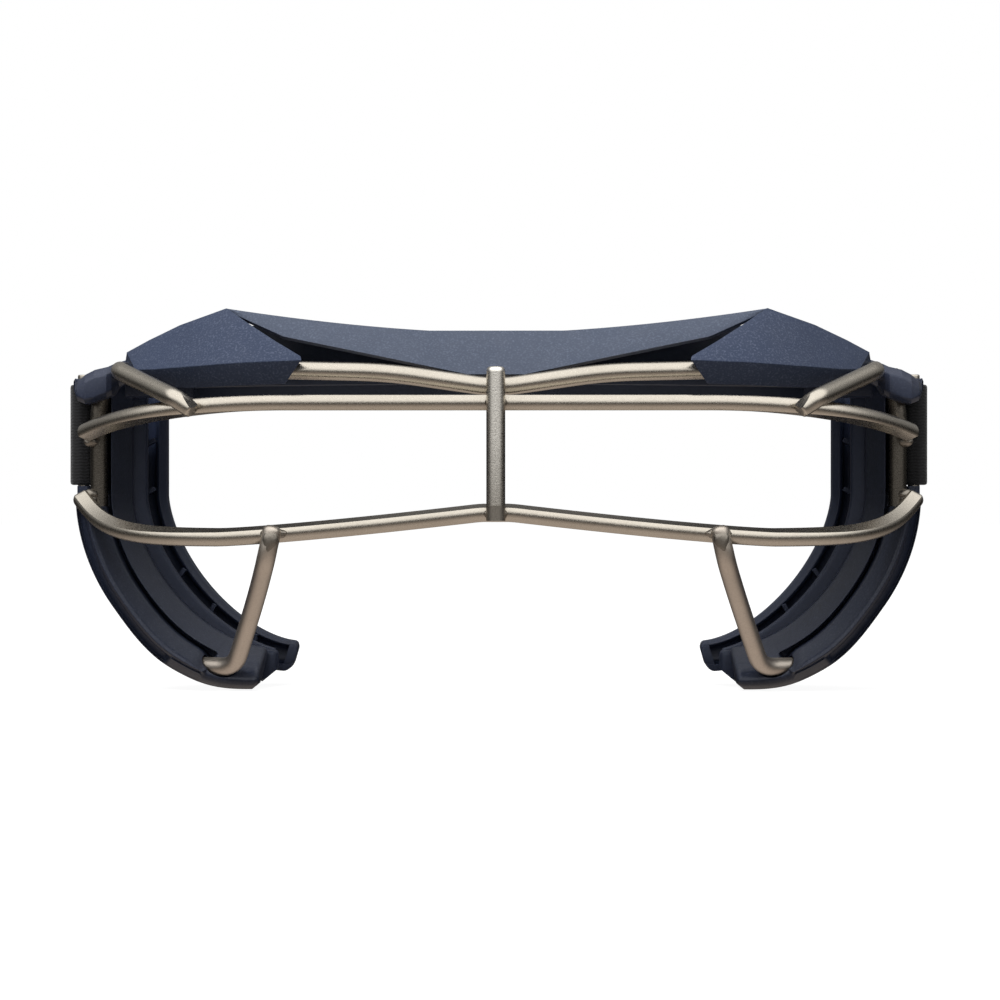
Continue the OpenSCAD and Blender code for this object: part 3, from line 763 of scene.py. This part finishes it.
visor = {"lipX": (5.5, 13, 24, 34, 41, 46, 52.6), "topX": (13, 19, 28, 36.5, 42.5, 47.2, 52.6), "steps": 6,
         "bevel": 0.3, "tip": 0.5}


def visorLip(x):
    if x < 5.6:
        z = 21.2
    else:
        z = mix(21.2, 28.6, (x - 5.5) / 35.5) if x < 41.1 else mix(28.6, 33.15, (x - 41) / 10)
    return Vector((x, front + 7.8 + x * x / 380 + max(0, x - 41) * 0.16, z))


def visorTop(x):
    return Vector((x, front + 15 + x * x / 1500, brow["topZ"] + 4.6 * (x / 51) ** 1.7))


def visorRear(x):
    return Vector((x, carrierFront(x) - 0.3, brow["topZ"] + 3.4 * (x / 51) ** 1.7))


def visorRing(lipX, topX, side):
    lip, top, rear = visorLip(lipX), visorTop(topX), visorRear(topX)
    thick = mix(brow["wall"], visor["tip"], smooth((topX - 38) / 10))
    outer = [lip + Vector((0, 1.7, -0.5)), lip, lip.lerp(top, 0.5) + Vector((0, -0.15, 0.15)), top, rear]
    inner = [rear + Vector((0, 0, -thick)), top + Vector((0, 0.9, -thick)),
             lip.lerp(top, 0.5) + Vector((0, 1.4, -1.0)), lip + Vector((0, 2.6, 0.4))]
    return [(side * p.x, p.y, p.z) for p in outer + inner]


def makeVisor():
    corners, steps = list(zip(visor["lipX"], visor["topX"])), visor["steps"]
    pairs = [tuple(mix(a, b, k / steps) for a, b in zip(here, on))
             for here, on in zip(corners, corners[1:]) for k in range(steps)] + corners[-1:]
    rings = [visorRing(l, t, -1) for l, t in reversed(pairs)] + [visorRing(l, t, 1) for l, t in pairs]
    piece = loft("browVisor", rings)
    bevelled(piece, visor["bevel"], 3, 25)
    shade(piece, 30)
    dress(piece, "navyPlastic", "frame_navy", "brow_visor")


cap = {
    "ridge": [(37, 4.6, 23.8), (41.2, 4.75, 23.65), (48, 5.2, 23.4), (53, 6.6, 23.1), (60, 10, 22.7),
              (66.5, 15.6, 22.4), (70.6, 20.4, 22.5)],
    "top": [(37.3, 5.4, 24.6), (42.3, 8.6, 27.6), (47.8, 11.4, 31.2), (52.2, 14.4, 34.2), (61.8, 20.5, 31.2),
            (68.4, 25, 28.4), (73.2, 28.4, 26.1)],
    "rear": [(37.6, 8.4, 24.6), (42.8, 12, 26.4), (48, 15.6, 28.6), (53.2, 30, 31.6), (62.5, 38, 29.2),
             (69, 40.5, 27.4), (73.4, 40.5, 26)],
    "foot": [(37.9, 5.8, 22.9), (40.4, 7.6, 19.3), (48.5, 9, 19.1), (53, 10, 18.9), (59.5, 13.5, 18.7),
             (65.5, 18.2, 19.2), (69.2, 20.6, 20.6)],
    "bevel": 0.42}


def capRing(i):
    foot, ridge, top, rear = (Vector(cap[key][i]) for key in ("foot", "ridge", "top", "rear"))
    first = i == 0
    outer = [foot, ridge, top, rear]
    inner = [rear + Vector((0, 0.2, -0.9 if first else -2.2)),
             top + Vector((0.2, 1.2, -0.7 if first else -2)),
             ridge + Vector((0.3, 2.4, -0.2)), foot + Vector((0.2, 1.8, 0.3))]
    return [(p.x, p.y + front, p.z) for p in outer + inner]


def makeCaps():
    piece = loft("browCap.right", [capRing(i) for i in range(7)])
    bevelled(piece, cap["bevel"], 4, 20)
    shade(piece, 24)
    # the caps take the darker navy, painted shade
    dressPair(piece, "browCap", "shadedCapPlastic", "frame_navy", "brow_cap")


makeVisor()
makeCaps()
print("brow made")

shell = {"endX": 46.5, "curveZ": -2.0, "halfWidth": 83.6, "drop": 40.4, "socketGap": 0.42, "socketEnd": 1.6,
         "bevel": 0.35}
# each curve: its middle in plan and height, its reach out and down, and its squareness
reach, fall = shell["halfWidth"] - shell["endX"], shell["drop"] + shell["curveZ"]
outerCurve = (shell["endX"], shell["curveZ"], reach, fall, 1.92)
lipCurve = (shell["endX"], shell["curveZ"], reach - 10.1, fall - 7.8, 1.7)
padOuterCurve = (shell["endX"] - 4, shell["curveZ"], reach - 0.9, fall - 2.6, 1.78)
padInnerCurve = (shell["endX"] - 5, shell["curveZ"], reach - 10.8, fall - 8.6, 1.6)


def onCurve(curve, turn):
    # turn 0 is the temple, 90 the inner end under the eye
    a = radians(turn)
    return Vector((curve[0] + curve[2] * max(0.0, cos(a)) ** (2 / curve[4]),
                   curve[1] - curve[3] * max(0.0, sin(a)) ** (2 / curve[4])))


# share of the way in from the outer edge, depth behind the cage's front, edge radius: along the
# band with its flank panel, rib and groove, and at the plain inner end
shellBand = [(0, 33.5, 0.5), (0, 31.2, 0.4), (0.025, 30.2, 0.25), (0.05, 31.2, 0.2), (0.20, 29.4, 0.3),
             (0.22, 27.2, 0.4), (0.265, 26.1, 0.7), (0.34, 26.4, 0.8), (0.575, 30.0, 0.35),
             (0.60, 31.0, 0.3), (0.61, 36.4, 0.15), (0.66, 36.8, 0.15), (0.675, 32.9, 0.3),
             (0.70, 32.3, 0.4), (0.955, 39.6, 0.6), (1.0, 41.2, 0.4), (1.0, 44, 0.4), (0.56, 44, 0.5),
             (0.17, 38, 0.5)]
shellEnd = [(0, 34), (0, 31.6), (0.03, 30.2), (0.07, 29.1), (0.12, 28.3), (0.17, 27.9), (0.24, 27.7),
            (0.33, 27.9), (0.46, 28.9), (0.56, 30.0), (0.62, 30.9), (0.66, 31.6), (0.675, 31.9),
            (0.70, 32.5), (0.955, 39.6), (1, 41.2), (1, 44), (0.56, 44), (0.17, 38)]
shellTurns = {"panelFrom": 3, "panelTo": 57, "ribEnd": 70, "end": 86.6, "bulge": 1.15, "endRound": 1.1}


def shellRing(turn, lift=0.0, inset=0.0, shift=0.0):
    o, l = onCurve(outerCurve, turn), onCurve(lipCurve, turn)
    # the outline is fuller round the leg's socket
    bulge = shellTurns["bulge"] * smooth((turn - 36) / 24) * (1 - smooth((turn - 70) / 20))
    o += (o - l).normalized() * bulge
    span = (o - l).length
    panel = smooth((turn - shellTurns["panelFrom"]) / 2.5)
    panel *= 1 - smooth((turn - shellTurns["panelTo"]) / 2.5)
    plain = smooth((turn - shellTurns["ribEnd"] + 0.9) / 1.8)
    slim = smooth((turn - shellTurns["ribEnd"] + 8) / 8)
    corners, radii = [], []
    for k, ((share, depth, radius), (endShare, endDepth)) in enumerate(zip(shellBand, shellEnd)):
        if k in (3, 4):
            depth = mix(30.4 - (share - 0.025) * 20, depth, panel)
        if 7 <= k <= 10:
            share -= 0.10 * slim * slim
        corners.append((mix(share, endShare, plain) * span, mix(depth, endDepth, plain)))
        radii.append(radius)
    ring = []
    for across, depth in rounded(insetCorners(corners, inset) if inset else corners, radii, 3):
        p = o.lerp(l, across / span)
        ring.append((p.x - shift, front + depth, p.y + lift))
    return ring


def roundedEnd(ring, turn, radius, *section, steps=5):
    # the last rings of a swept section, drawn in round its end
    arc = [pi / 2 * k / steps for k in range(1, steps + 1)]
    return [ring(turn, 0.0, radius * (1 - cos(a)), radius * sin(a), *section) for a in arc]


def barRelief():
    # what the lower bar needs: its own room and all that stands before it
    rings = []
    half = barHalf + cage["stagger"]
    for k in range(15):
        s = mix(half - 20, half + 3, k / 14)
        here = lowerBarAt(s)
        along = (lowerBarAt(s + 0.05) - lowerBarAt(s - 0.05)).normalized()
        out = along.cross(Vector((0, 0, 1))).normalized()
        up = out.cross(along)
        corners = ((14, -1.6), (-2.0, -1.6), (-2.0, 12), (14, 12))
        rings.append([tuple(here + out * d + up * h) for d, h in corners])
    return loft("relief", rings)


def boxTool(name, x, y, z):
    return newPiece(name, [(a, b, c) for a in x for b in y for c in z],
                    [(0, 1, 3, 2), (4, 6, 7, 5), (0, 4, 5, 1), (2, 3, 7, 6), (0, 2, 6, 4), (1, 5, 7, 3)])


def postNotch():
    # room before the side post, down to the lower bar
    return boxTool("notch", (postAt[0] - 2.4, postAt[0] + 2.2), (front + 20, front + 36), (-4.2, 2))


def endSlant():
    # the shell and the pad end in a slant below
    section = [(44.0, -36.6), (49.4, -41.0), (49.4, -44), (40, -44), (40, -36.6)]
    return loft("slant", [[(x, front + y, z) for x, z in section] for y in (20, 50.5)])


def makeShells():
    turns = [0, 1, 2, 3] + [3 + k * 0.5 for k in range(1, 8)] + [7.5 + k for k in range(1, 49)]
    turns += [56 + k * 0.5 for k in range(1, 11)] + [61.5 + k for k in range(7)]
    turns += [68 + k * 0.3 for k in range(1, 16)]
    last = shellTurns["end"]
    turns += [73 + (last - 73) * k / 12 for k in range(13)]
    rings = [shellRing(t) for t in turns]
    rings += roundedEnd(shellRing, last, shellTurns["endRound"])
    piece = loft("cheekShell.right", rings)
    foot = bentPath(legPath, legBends)
    foot.append(foot[-1] + Vector((1.0, 0.2, 0.2)))
    cut(piece, sweepPiece("pocket", foot, wireR + shell["socketGap"], roundEnd=shell["socketEnd"],
                          finish="shellPlastic", sides=40))
    cut(piece, barRelief(), postNotch(), endSlant())
    bevelled(piece, shell["bevel"], 3, 50)
    shade(piece, 32)
    dressPair(piece, "cheekShell", "shellPlastic", "frame_navy", "cheek_shell")


def copyOfNode(name, nodeName, merge=2e-6):
    piece = placed(name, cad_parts[nodeName].data.copy())
    bm = openMesh(piece)
    bmesh.ops.remove_doubles(bm, verts=bm.verts, dist=merge)
    bmesh.ops.dissolve_limit(bm, angle_limit=radians(1), verts=bm.verts, edges=bm.edges)
    closeMesh(bm, piece.data)
    return piece


# lug above the side post: x, front depth, top and bottom, from under the cap outwards
lug = {"rows": [(68.5, 32.0, 25.6, 22.4), (72.6, 31.4, 25.3, 21.0), (75.0, 30.8, 24.5, 19.4),
                (76.0, 27.2, 23.9, 17.8), (76.9, 26.2, 23.4, 17.2), (79.4, 25.9, 22.8, 16.2),
                (81.2, 26.0, 21.9, 15.9), (82.8, 26.8, 20.7, 16.6), (83.6, 29.0, 20.2, 17.9),
                (84.2, 33.0, 21.3, 19.8)],
       "back": 42.5, "noseBack": 34.9, "arm": 21.1, "postGap": 0.06, "bevel": 0.25, "dullBelow": 15.5}


def lugRing(x, depth, top, low):
    section = [(depth, low + 0.9), (depth + 0.2, top - 1.7), (depth + 2.1, top - 0.1), (lug["back"], top),
               (lug["back"], lug["arm"]), (lug["noseBack"], lug["arm"]), (lug["noseBack"], low),
               (depth + 1.3, low)]
    return [(x, front + y, z) for y, z in rounded(section, [0.4, 0.5, 0.5, 0.4, 0.2, 0.2, 0.4, 0.5], 3)]


# the wall's outer side, from the shell up to the strap, and a web that closes the corner over
# the pad, behind the cap's end
templeSide = outerCurve[0] + outerCurve[2]
wallOuter = rounded([(templeSide - 4.6, 36.2), (templeSide - 2.2, 33.2), (templeSide, 33.6),
                     (templeSide, 38.5), (templeSide - 4.6, 40)], [0.4, 0.6, 0.6, 0.6, 0.3], 3)
cornerWeb = rounded([(38, 17.4), (41.5, 17.4), (41.5, 23.6), (38, 23.6)], [0.8] * 4, 3)


def wallRing(z):
    # the wall behind the post goes on from the shell's groove and band
    span = templeSide - lipCurve[0] - lipCurve[2]
    section = [(0.41, 36.6), (0.44, 35.9), (0.575, 36.0), (0.60, 36.6), (0.61, 40.0), (0.66, 40.2)] \
        + [row[:2] for row in shellBand[12:17]] + [(0.41, 44)]
    radii = [0.3, 0.4, 0.3, 0.3, 0.15, 0.15, 0.3, 0.4, 0.6, 0.4, 0.4, 0.3]
    return [(templeSide - across, front + depth, z)
            for across, depth in rounded([(share * span, depth) for share, depth in section], radii, 3)]


def makeTemples():
    piece = loft("templeFrame.right", [lugRing(*row) for row in lug["rows"]])
    wall = loft("wall", [wallRing(mix(-2.0, 23.2, k / 12)) for k in range(13)])
    shelf = loft("shelf", [shellRing(0, lift) for lift in (0.05, 0.3, 0.5)])
    cut(shelf, barRelief(), postNotch())
    outer = loft("outer", [[(x, front + y, z) for x, y in wallOuter] for z in (-1.9, -0.2)])
    web = loft("web", [[(x, front + y, z) for y, z in cornerWeb] for x in (61, 68, 75)])
    joined(piece, wall, shelf, web, outer)
    post = [Vector((postAt[0], postAt[1], z)) for z in (-9, 12)]
    cut(piece, sweepPiece("postRoom", post, wireR + lug["postGap"], finish="shellPlastic"))
    bevelled(piece, lug["bevel"], 3, 38)
    shade(piece, 13)
    for frameSide in dressPair(piece, "templeFrame", "lugPlastic", "frame_navy", "temple_frame"):
        frameSide.data.materials.append(materials["shellPlastic"])
        for face in frameSide.data.polygons:
            face.material_index = int(face.center.z < lug["dullBelow"] * mm)


def makeCarrier():
    piece = copyOfNode("browCarrier", "brow_carrier")
    bevelled(piece, 0.3, 2, 40)
    shade(piece, 32)
    # the carrier takes the lightened plastic, painted light
    dress(piece, "smoothLitPlastic", "inner_frame", "brow_carrier")


makeShells()
makeTemples()
makeCarrier()
print("moulded frame made")

# ---- pads ----

padSection = [(0.72, 44.7), (0, 44.3), (0, 60), (0.85, 61.5), (1, 59.5), (1, 53.2),
              (0.88, 51.4), (0.81, 52.3), (0.8, 55.2), (0.22, 54.8), (0.22, 49), (0.72, 48)]
padRadii = [0.7, 0.8, 2.0, 1.2, 1.2, 0.8, 0.5, 0.6, 1.2, 1.5, 1.5, 0.6]
# the block that closes the channel at the pad's inner end
plugSection = [(0.97, 51.3), (0.08, 50.9), (0.08, 57.5), (0.97, 58.5)]
plugRadii = [1.1, 1.1, 0.6, 0.6]
# what the front flange is cut short by, and the block it ends in
padEnd = {"turn": 87.2, "plugTurns": (86.3, 86.7, 87.2), "round": 1.3, "plugRound": 1.5,
          "trim": ((38, 45.1), (front + 40, front + 50.5), (-45, -25)),
          "block": ((44.5, 48.2), (front + 44.0, front + 48.6), (-39.8, -33.1)), "blockBevel": 1.1}


def padRing(turn, lift=0.0, inset=0.0, shift=0.0, section=padSection, radii=padRadii):
    o, n = onCurve(padOuterCurve, turn), onCurve(padInnerCurve, turn)
    span = (o - n).length
    ring = []
    for across, depth in rounded([(share * span, depth) for share, depth in section], radii, 4):
        p = o.lerp(n, 0.5 + (across / span - 0.5) * (1 - 2 * inset / span))
        ring.append((p.x - shift, front + depth, p.y + lift))
    return ring


# webs that bridge the pads' slot: turn along the cheek, or height above it at the temple
webs = {"turns": [(0, 9.4), (2, 0), (37, 0), (53, 0), (72, 0)], "shares": (0.16, 0.86),
        "depth": (49.0, 54.0), "thick": 0.8, "lean": 0.5}


def makeWebs():
    places = []
    for turn, lift in webs["turns"]:
        o, n = onCurve(padOuterCurve, turn), onCurve(padInnerCurve, turn)
        a, b = (o.lerp(n, share) for share in webs["shares"])
        middle = (a + b) / 2
        turnAngle = atan2(b.y - a.y, b.x - a.x)
        depth = sum(webs["depth"]) / 2
        for side in (-1, 1):
            places.append(((side * middle.x, front + depth, middle.y + lift),
                           (0, side * (webs["lean"] - turnAngle), 0),
                           ((b - a).length, webs["depth"][1] - webs["depth"][0], webs["thick"])))
    return places


def makePads():
    rise = 18 - shell["curveZ"]
    last = padEnd["turn"]
    rings = [padRing(0, rise * (1 - k / 12)) for k in range(12)]
    rings += [padRing(last * k / 60) for k in range(61)] + roundedEnd(padRing, last, padEnd["round"])
    piece = loft("sidePad.right", rings)
    # the front flange stops a little short of the rear rib
    cut(piece, boxTool("trim", *padEnd["trim"]))
    joined(piece, bevelled(boxTool("flangeEnd", *padEnd["block"]), padEnd["blockBevel"], 4))
    cut(piece, endSlant())
    plug = [padRing(turn, 0, 0, 0, plugSection, plugRadii) for turn in padEnd["plugTurns"]]
    plug += roundedEnd(padRing, last, padEnd["plugRound"], plugSection, plugRadii)
    joined(piece, loft("plug", plug))
    bevelled(piece, 0.5, 4, 58)
    shade(piece, 35)
    for pad in dressPair(piece, "sidePad", "padRubber", "face_pad", "side_pad"):
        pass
    dress(scatterPiece("padWebs", makeWebs(), "padRubber"), None, "face_pad")
    rows = []
    half = radians(brow["padTurn"])
    inner, outer = brow["radius"], brow["radius"] + brow["padDepth"]
    low, high = brow["padLow"], brow["padHigh"]
    for k in range(65):
        a = mix(-half, half, k / 64)
        section = rounded([(inner, low), (outer, low), (outer, high), (inner, high)], [1.6, 0.8, 0.8, 1.6], 4)
        rows.append([(r * sin(a), brow["radius"] - r * cos(a), z) for r, z in section])
    browPad = loft("browPad", rows)
    bevelled(browPad, 0.6, 3, 60)
    shade(browPad, 35)
    dress(browPad, "padRubber", "face_pad", "brow_pad")


makePads()
print("pads made")

# ---- strap ----

strap = {"width": 20.0, "thick": 1.4, "barDiameter": 2.4, "side": 132.0, "turnRadius": 60.0, "lean": 30.0,
         "lift": 18.5, "level": 70.0, "climb": 98.0, "x": 80.75, "z": 10.0, "sliderAt": 36.0,
         "sliderBar": 1.6}
strapBarX = strap["x"] + strap["thick"] / 2 + strap["barDiameter"] / 2 + 0.1
strapBarY = front + 38
foldR = strap["barDiameter"] / 2 + 0.1 + strap["thick"] / 2


def climbShare(y):
    return (y - strapBarY - strap["level"]) / strap["climb"]


def strapHeight(y):
    return strap["z"] + strap["lift"] * smooth(climbShare(y))


def strapSlope(y):
    u = min(1.0, max(0.0, climbShare(y)))
    return strap["lift"] / strap["climb"] * 6 * u * (1 - u)


def bandFrame(x, y, heading, lean):
    # middle of the band, its upward direction and the way its face points
    level = Vector((cos(heading), sin(heading), 0))
    along = Vector((sin(heading), -cos(heading), 0)) * (-1 if cos(heading) > 0 else 1)
    tilt = atan(strapSlope(y) * abs(cos(heading)))
    rise = Vector((0, 0, cos(tilt))) - along * sin(tilt)
    lean = radians(lean)
    return (Vector((x, y, strapHeight(y))), rise * cos(lean) + level * sin(lean),
            level * cos(lean) - rise * sin(lean))


def leanShare(t):
    return smooth((t - 0.7) / 0.42)


def strapHalf():
    rows = [(strapBarX + foldR * cos(radians(a)), strapBarY - foldR * sin(radians(a)),
             radians(-a), 0) for a in range(0, 170, 15)]
    rows += [(strap["x"], strapBarY + strap["side"] * k / 44, -pi, strap["lean"] * leanShare(k / 44))
             for k in range(45)]
    back = strap["x"] - strap["turnRadius"]
    rows += [(back + strap["turnRadius"] * cos(radians(a)),
              strapBarY + strap["side"] + strap["turnRadius"] * sin(radians(a)),
              radians(a - 180), strap["lean"] * leanShare(1 + a / 100)) for a in range(3, 91, 3)]
    rows += [(back * (1 - k / 6), strapBarY + strap["side"] + strap["turnRadius"], -pi / 2, strap["lean"])
             for k in range(1, 7)]
    return rows


def bandPiece(name, rows, width, thick):
    # sweeps a rounded band through its frames and gives it a cloth map in metres
    w, t = width / 2, thick / 2
    outline = rounded([(-w, -t), (w, -t), (w, t), (-w, t)], [0.66] * 4, 4)
    rings = [[tuple(middle + up * over + face * out) for over, out in outline] for middle, up, face in rows]
    n = len(outline)
    points = [p for ring in rings for p in ring]
    ends = [tuple(reversed(range(n))), tuple(range(len(points) - n, len(points)))]
    piece = newPiece(name, points, ringFaces(n, len(rings)) + ends)
    lengths = runningLengths([row[0] for row in rows])
    layer = piece.data.uv_layers.new(name="cloth")
    for loop, corner in zip(layer.data, piece.data.loops):
        v = corner.vertex_index
        loop.uv = (lengths[v // n] * mm, outline[v % n][0] * mm)
    faceOutwards(piece)
    shade(piece, 50)
    return piece, lengths[-1]


def flippedFrame(row):
    return tuple(Vector((-v.x, v.y, v.z)) for v in row)


def makeStrap():
    half = [bandFrame(*row) for row in strapHalf()]
    tailL, tailX = 26, strap["x"] + strap["thick"] + 0.05
    tail = []
    for k in range(17):
        y = mix(tailL, 1.2, k / 16)
        share = smooth((tailL * 0.6 - y) / (tailL * 0.5))
        tail.append(bandFrame(mix(tailX, strapBarX + foldR, share), strapBarY + y, 0, 0))
    left = [flippedFrame(row) for row in tail + half]
    right = list(reversed(half[:-1]))
    piece, length = bandPiece("strap", left + right, strap["width"], strap["thick"])
    dress(piece, "strapKnit", "strap_webbing", "strap")
    print("strap length", round(length))


sliderY = strapBarY + strap["sliderAt"]
returnX = strap["x"] + strap["thick"] + 0.3
sliderBarX = returnX + strap["thick"] / 2 + 0.1 + strap["sliderBar"] / 2
sliderLoopR = strap["sliderBar"] / 2 + 0.1 + strap["thick"] / 2


def makeReturn():
    rows = []
    split, bar = sliderY - 6, strapBarX + foldR
    for k in range(33):
        y = mix(split - 0.3, strapBarY + 0.3, k / 32)
        share = smooth((split - 11 - y) / (split - 11 - strapBarY - 1))
        rows.append(bandFrame(mix(returnX, bar, share), y, 0, 0))
    piece, length = bandPiece("strapReturn", rows, strap["width"], strap["thick"])
    dress(piece, "strapKnit", "strap_webbing", "strap_return", body=None)
    return piece


def makeEndLoop():
    rows = [bandFrame(returnX, sliderY - 6 + k * 2, 0, 0) for k in range(3)]
    rows += [bandFrame(sliderBarX - sliderLoopR * cos(radians(a)),
                       sliderY + sliderLoopR * sin(radians(a)), radians(-a), 0) for a in range(0, 181, 12)]
    rear = returnX + strap["thick"] + 0.05
    for k in range(1, 15):
        y = -k
        share = smooth(-y / 8)
        rows.append(bandFrame(mix(sliderBarX + sliderLoopR, rear, share), sliderY + y, -pi, 0))
    piece, length = bandPiece("strapEndLoop", rows, strap["width"], strap["thick"])
    dress(piece, "strapKnit", "strap_webbing", "strap_end_loop", body="adjuster")


# rows behind the strap bar or before the adjuster, and each thread's size and spacing
stitch = {"strapRows": (19.5, 23.5), "loopRows": (9.5, 12.5), "size": (0.3, 0.4, 1.5), "count": 9,
          "pitch": 2.0}


def stitchRows(faceX, rowYs):
    # short threads across the band, on the face at the given distance from the middle plane
    low = -stitch["pitch"] * (stitch["count"] - 1) / 2
    return [((faceX, y, strap["z"] + (low + stitch["pitch"] * k)), (0, 0, 0), stitch["size"])
            for y in rowYs for k in range(stitch["count"])]


def makeStitches():
    tailFace = strap["x"] + 1.5 * strap["thick"] + 0.1
    places = stitchRows(-tailFace, [strapBarY + y for y in stitch["strapRows"]])
    dress(scatterPiece("strapStitches", places, "thread"), None, "strap_webbing")
    loopFace = returnX + 1.5 * strap["thick"] + 0.1
    places = stitchRows(loopFace, [sliderY - y for y in stitch["loopRows"]])
    dress(scatterPiece("endLoopStitches", places, "thread"), None, "strap_webbing", body="adjuster")


def makeAdjuster():
    piece = copyOfNode("strapAdjuster", "strap_adjuster")
    bevelled(piece, 0.25, 2, 40)
    shade(piece, 35)
    dress(piece, "acetal", "adjuster_plastic", "strap_adjuster", body="adjuster")


def makeStrapBars():
    for word, side in (("left", -1), ("right", 1)):
        ends = [Vector((side * strapBarX, strapBarY, strap["z"] + d)) for d in (-12, 12)]
        bar = sweepPiece("strapBar." + word, ends, strap["barDiameter"] / 2, roundStart=0.3, roundEnd=0.3)
        dressWire(bar, "strap_bar_" + word)


makeStrapBars()
makeAdjuster()
makeEndLoop()
makeStitches()
returnPiece = makeReturn()
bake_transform(returnPiece)
makeStrap()
print("strap made")

# ---- floor, backdrop and light ----

stageSizes = {"floor": 6.0, "drop": 0.0002, "key": 11.5, "front": 2.6, "rim": 3.0, "skyHigh": 0.45,
              "skyLow": 0.05, "floorWhite": 0.93, "floorAlbedo": 0.25}


def stagePlane(name, size, place, material):
    s = size / 2
    piece = newPiece(name, [(-s, -s, 0), (s, -s, 0), (s, s, 0), (-s, s, 0)], [(0, 1, 2, 3)], 1.0)
    piece.location = place
    piece.data.materials.append(material)
    piece.visible_glossy = False


def seenPlainly(tree):
    # 1 for rays that come from the camera, straight or through something clear
    rays = tree.nodes.new("ShaderNodeLightPath").outputs
    return rays, math2(tree, "MAXIMUM", rays["Is Camera Ray"], rays["Is Transmission Ray"])


def paleStage():
    material, tree, shader = newMaterial("paleStage")
    fill(tree, shader, {"Base Color": (*[stageSizes["floorAlbedo"]] * 3, 1), "Roughness": 0.9,
                        "Specular IOR Level": 0.0})
    strength = math2(tree, "MULTIPLY", seenPlainly(tree)[1], stageSizes["floorWhite"])
    glow = addNode(tree, "ShaderNodeEmission", {"Color": (1, 1, 1, 1), "Strength": strength}).outputs[0]
    both = addNode(tree, "ShaderNodeAddShader", {0: shader.outputs[0], 1: glow}).outputs[0]
    feed(tree, tree.nodes["Material Output"].inputs["Surface"], both)
    return material


def areaLamp(name, place, aim, size, watts, colour=(1, 1, 1)):
    data = bpy.data.lights.new(name, "AREA")
    data.shape = "RECTANGLE"
    data.size, data.size_y = size
    data.energy = watts
    data.color = colour
    lamp = placed(name, data)
    lamp.location = place
    lamp.visible_glossy = False
    lamp.rotation_euler = (Vector(aim) - Vector(place)).to_track_quat("-Z", "Y").to_euler()


# how bright the reflected sky is at each height, from straight down to straight up
skyLevels = [(-1.0, 0.36), (-0.87, 0.38), (-0.64, 0.28), (-0.36, 0.12), (-0.10, 0.02), (0.04, 0.16),
             (0.2, 0.66), (0.45, 0.98), (0.7, 1.0)]


def sky():
    # what the camera sees is white; for reflections a bright front and top, a dark horizon and a
    # warm floor; for plain light a bright top
    world = bpy.data.worlds.new("sky")
    bpy.context.scene.world = world
    world.use_nodes = True
    tree = world.node_tree
    rays, seen = seenPlainly(tree)
    way = tree.nodes.new("ShaderNodeTexCoord").outputs["Generated"]
    way = addNode(tree, "ShaderNodeSeparateXYZ", {0: way}).outputs
    height = addNode(tree, "ShaderNodeValToRGB", {0: ranged(tree, way["Z"], -1.0, 1.0, 0.0, 1.0)})
    stops = height.color_ramp.elements
    stops.remove(stops[1])
    for k, (z, level) in enumerate(skyLevels):
        stop = stops.new((z + 1) / 2) if k else stops[0]
        stop.color = (level, level, level, 1)
    # bright before and above, dark to the sides and behind
    slope = math2(tree, "MULTIPLY", math2(tree, "ABSOLUTE", way["Z"]), 0.9)
    behind = math2(tree, "SUBTRACT", way["Y"], slope)
    facing = math2(tree, "MAXIMUM", ranged(tree, behind, -0.65, -0.25, 1.9, 0.3),
                   ranged(tree, way["Z"], -0.15, -0.5, 0.3, 1.8))
    reflected = math2(tree, "MULTIPLY", height.outputs["Color"], facing)
    plain = ranged(tree, way["Z"], -0.2, 0.7, stageSizes["skyLow"], stageSizes["skyHigh"])
    lit = mixNumber(tree, rays["Is Glossy Ray"], plain, reflected)
    low = ranged(tree, way["Z"], 0.1, -0.4, 0.0, 1.0)
    warm = math2(tree, "MULTIPLY", low, math2(tree, "SUBTRACT", 1.0, seen))
    fill(tree, tree.nodes["Background"], {"Strength": mixNumber(tree, seen, lit, 1.0),
                                          "Color": mixColour(tree, warm, (1, 1, 1), (1, 0.87, 0.78))})


def makeStage():
    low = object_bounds()[0]
    stagePlane("floor", stageSizes["floor"], (0, 0, low[2] - stageSizes["drop"]), paleStage())
    sky()
    areaLamp("key", (-0.32, -0.45, 0.92), (0, 0, 0), (0.8, 0.5), stageSizes["key"])
    areaLamp("front", (0, -1.1, -0.15), (0, 0, 0), (0.6, 0.4), stageSizes["front"])
    areaLamp("rim", (0, 0.7, 0.8), (0, 0, 0), (0.8, 0.4), stageSizes["rim"])


makeStage()
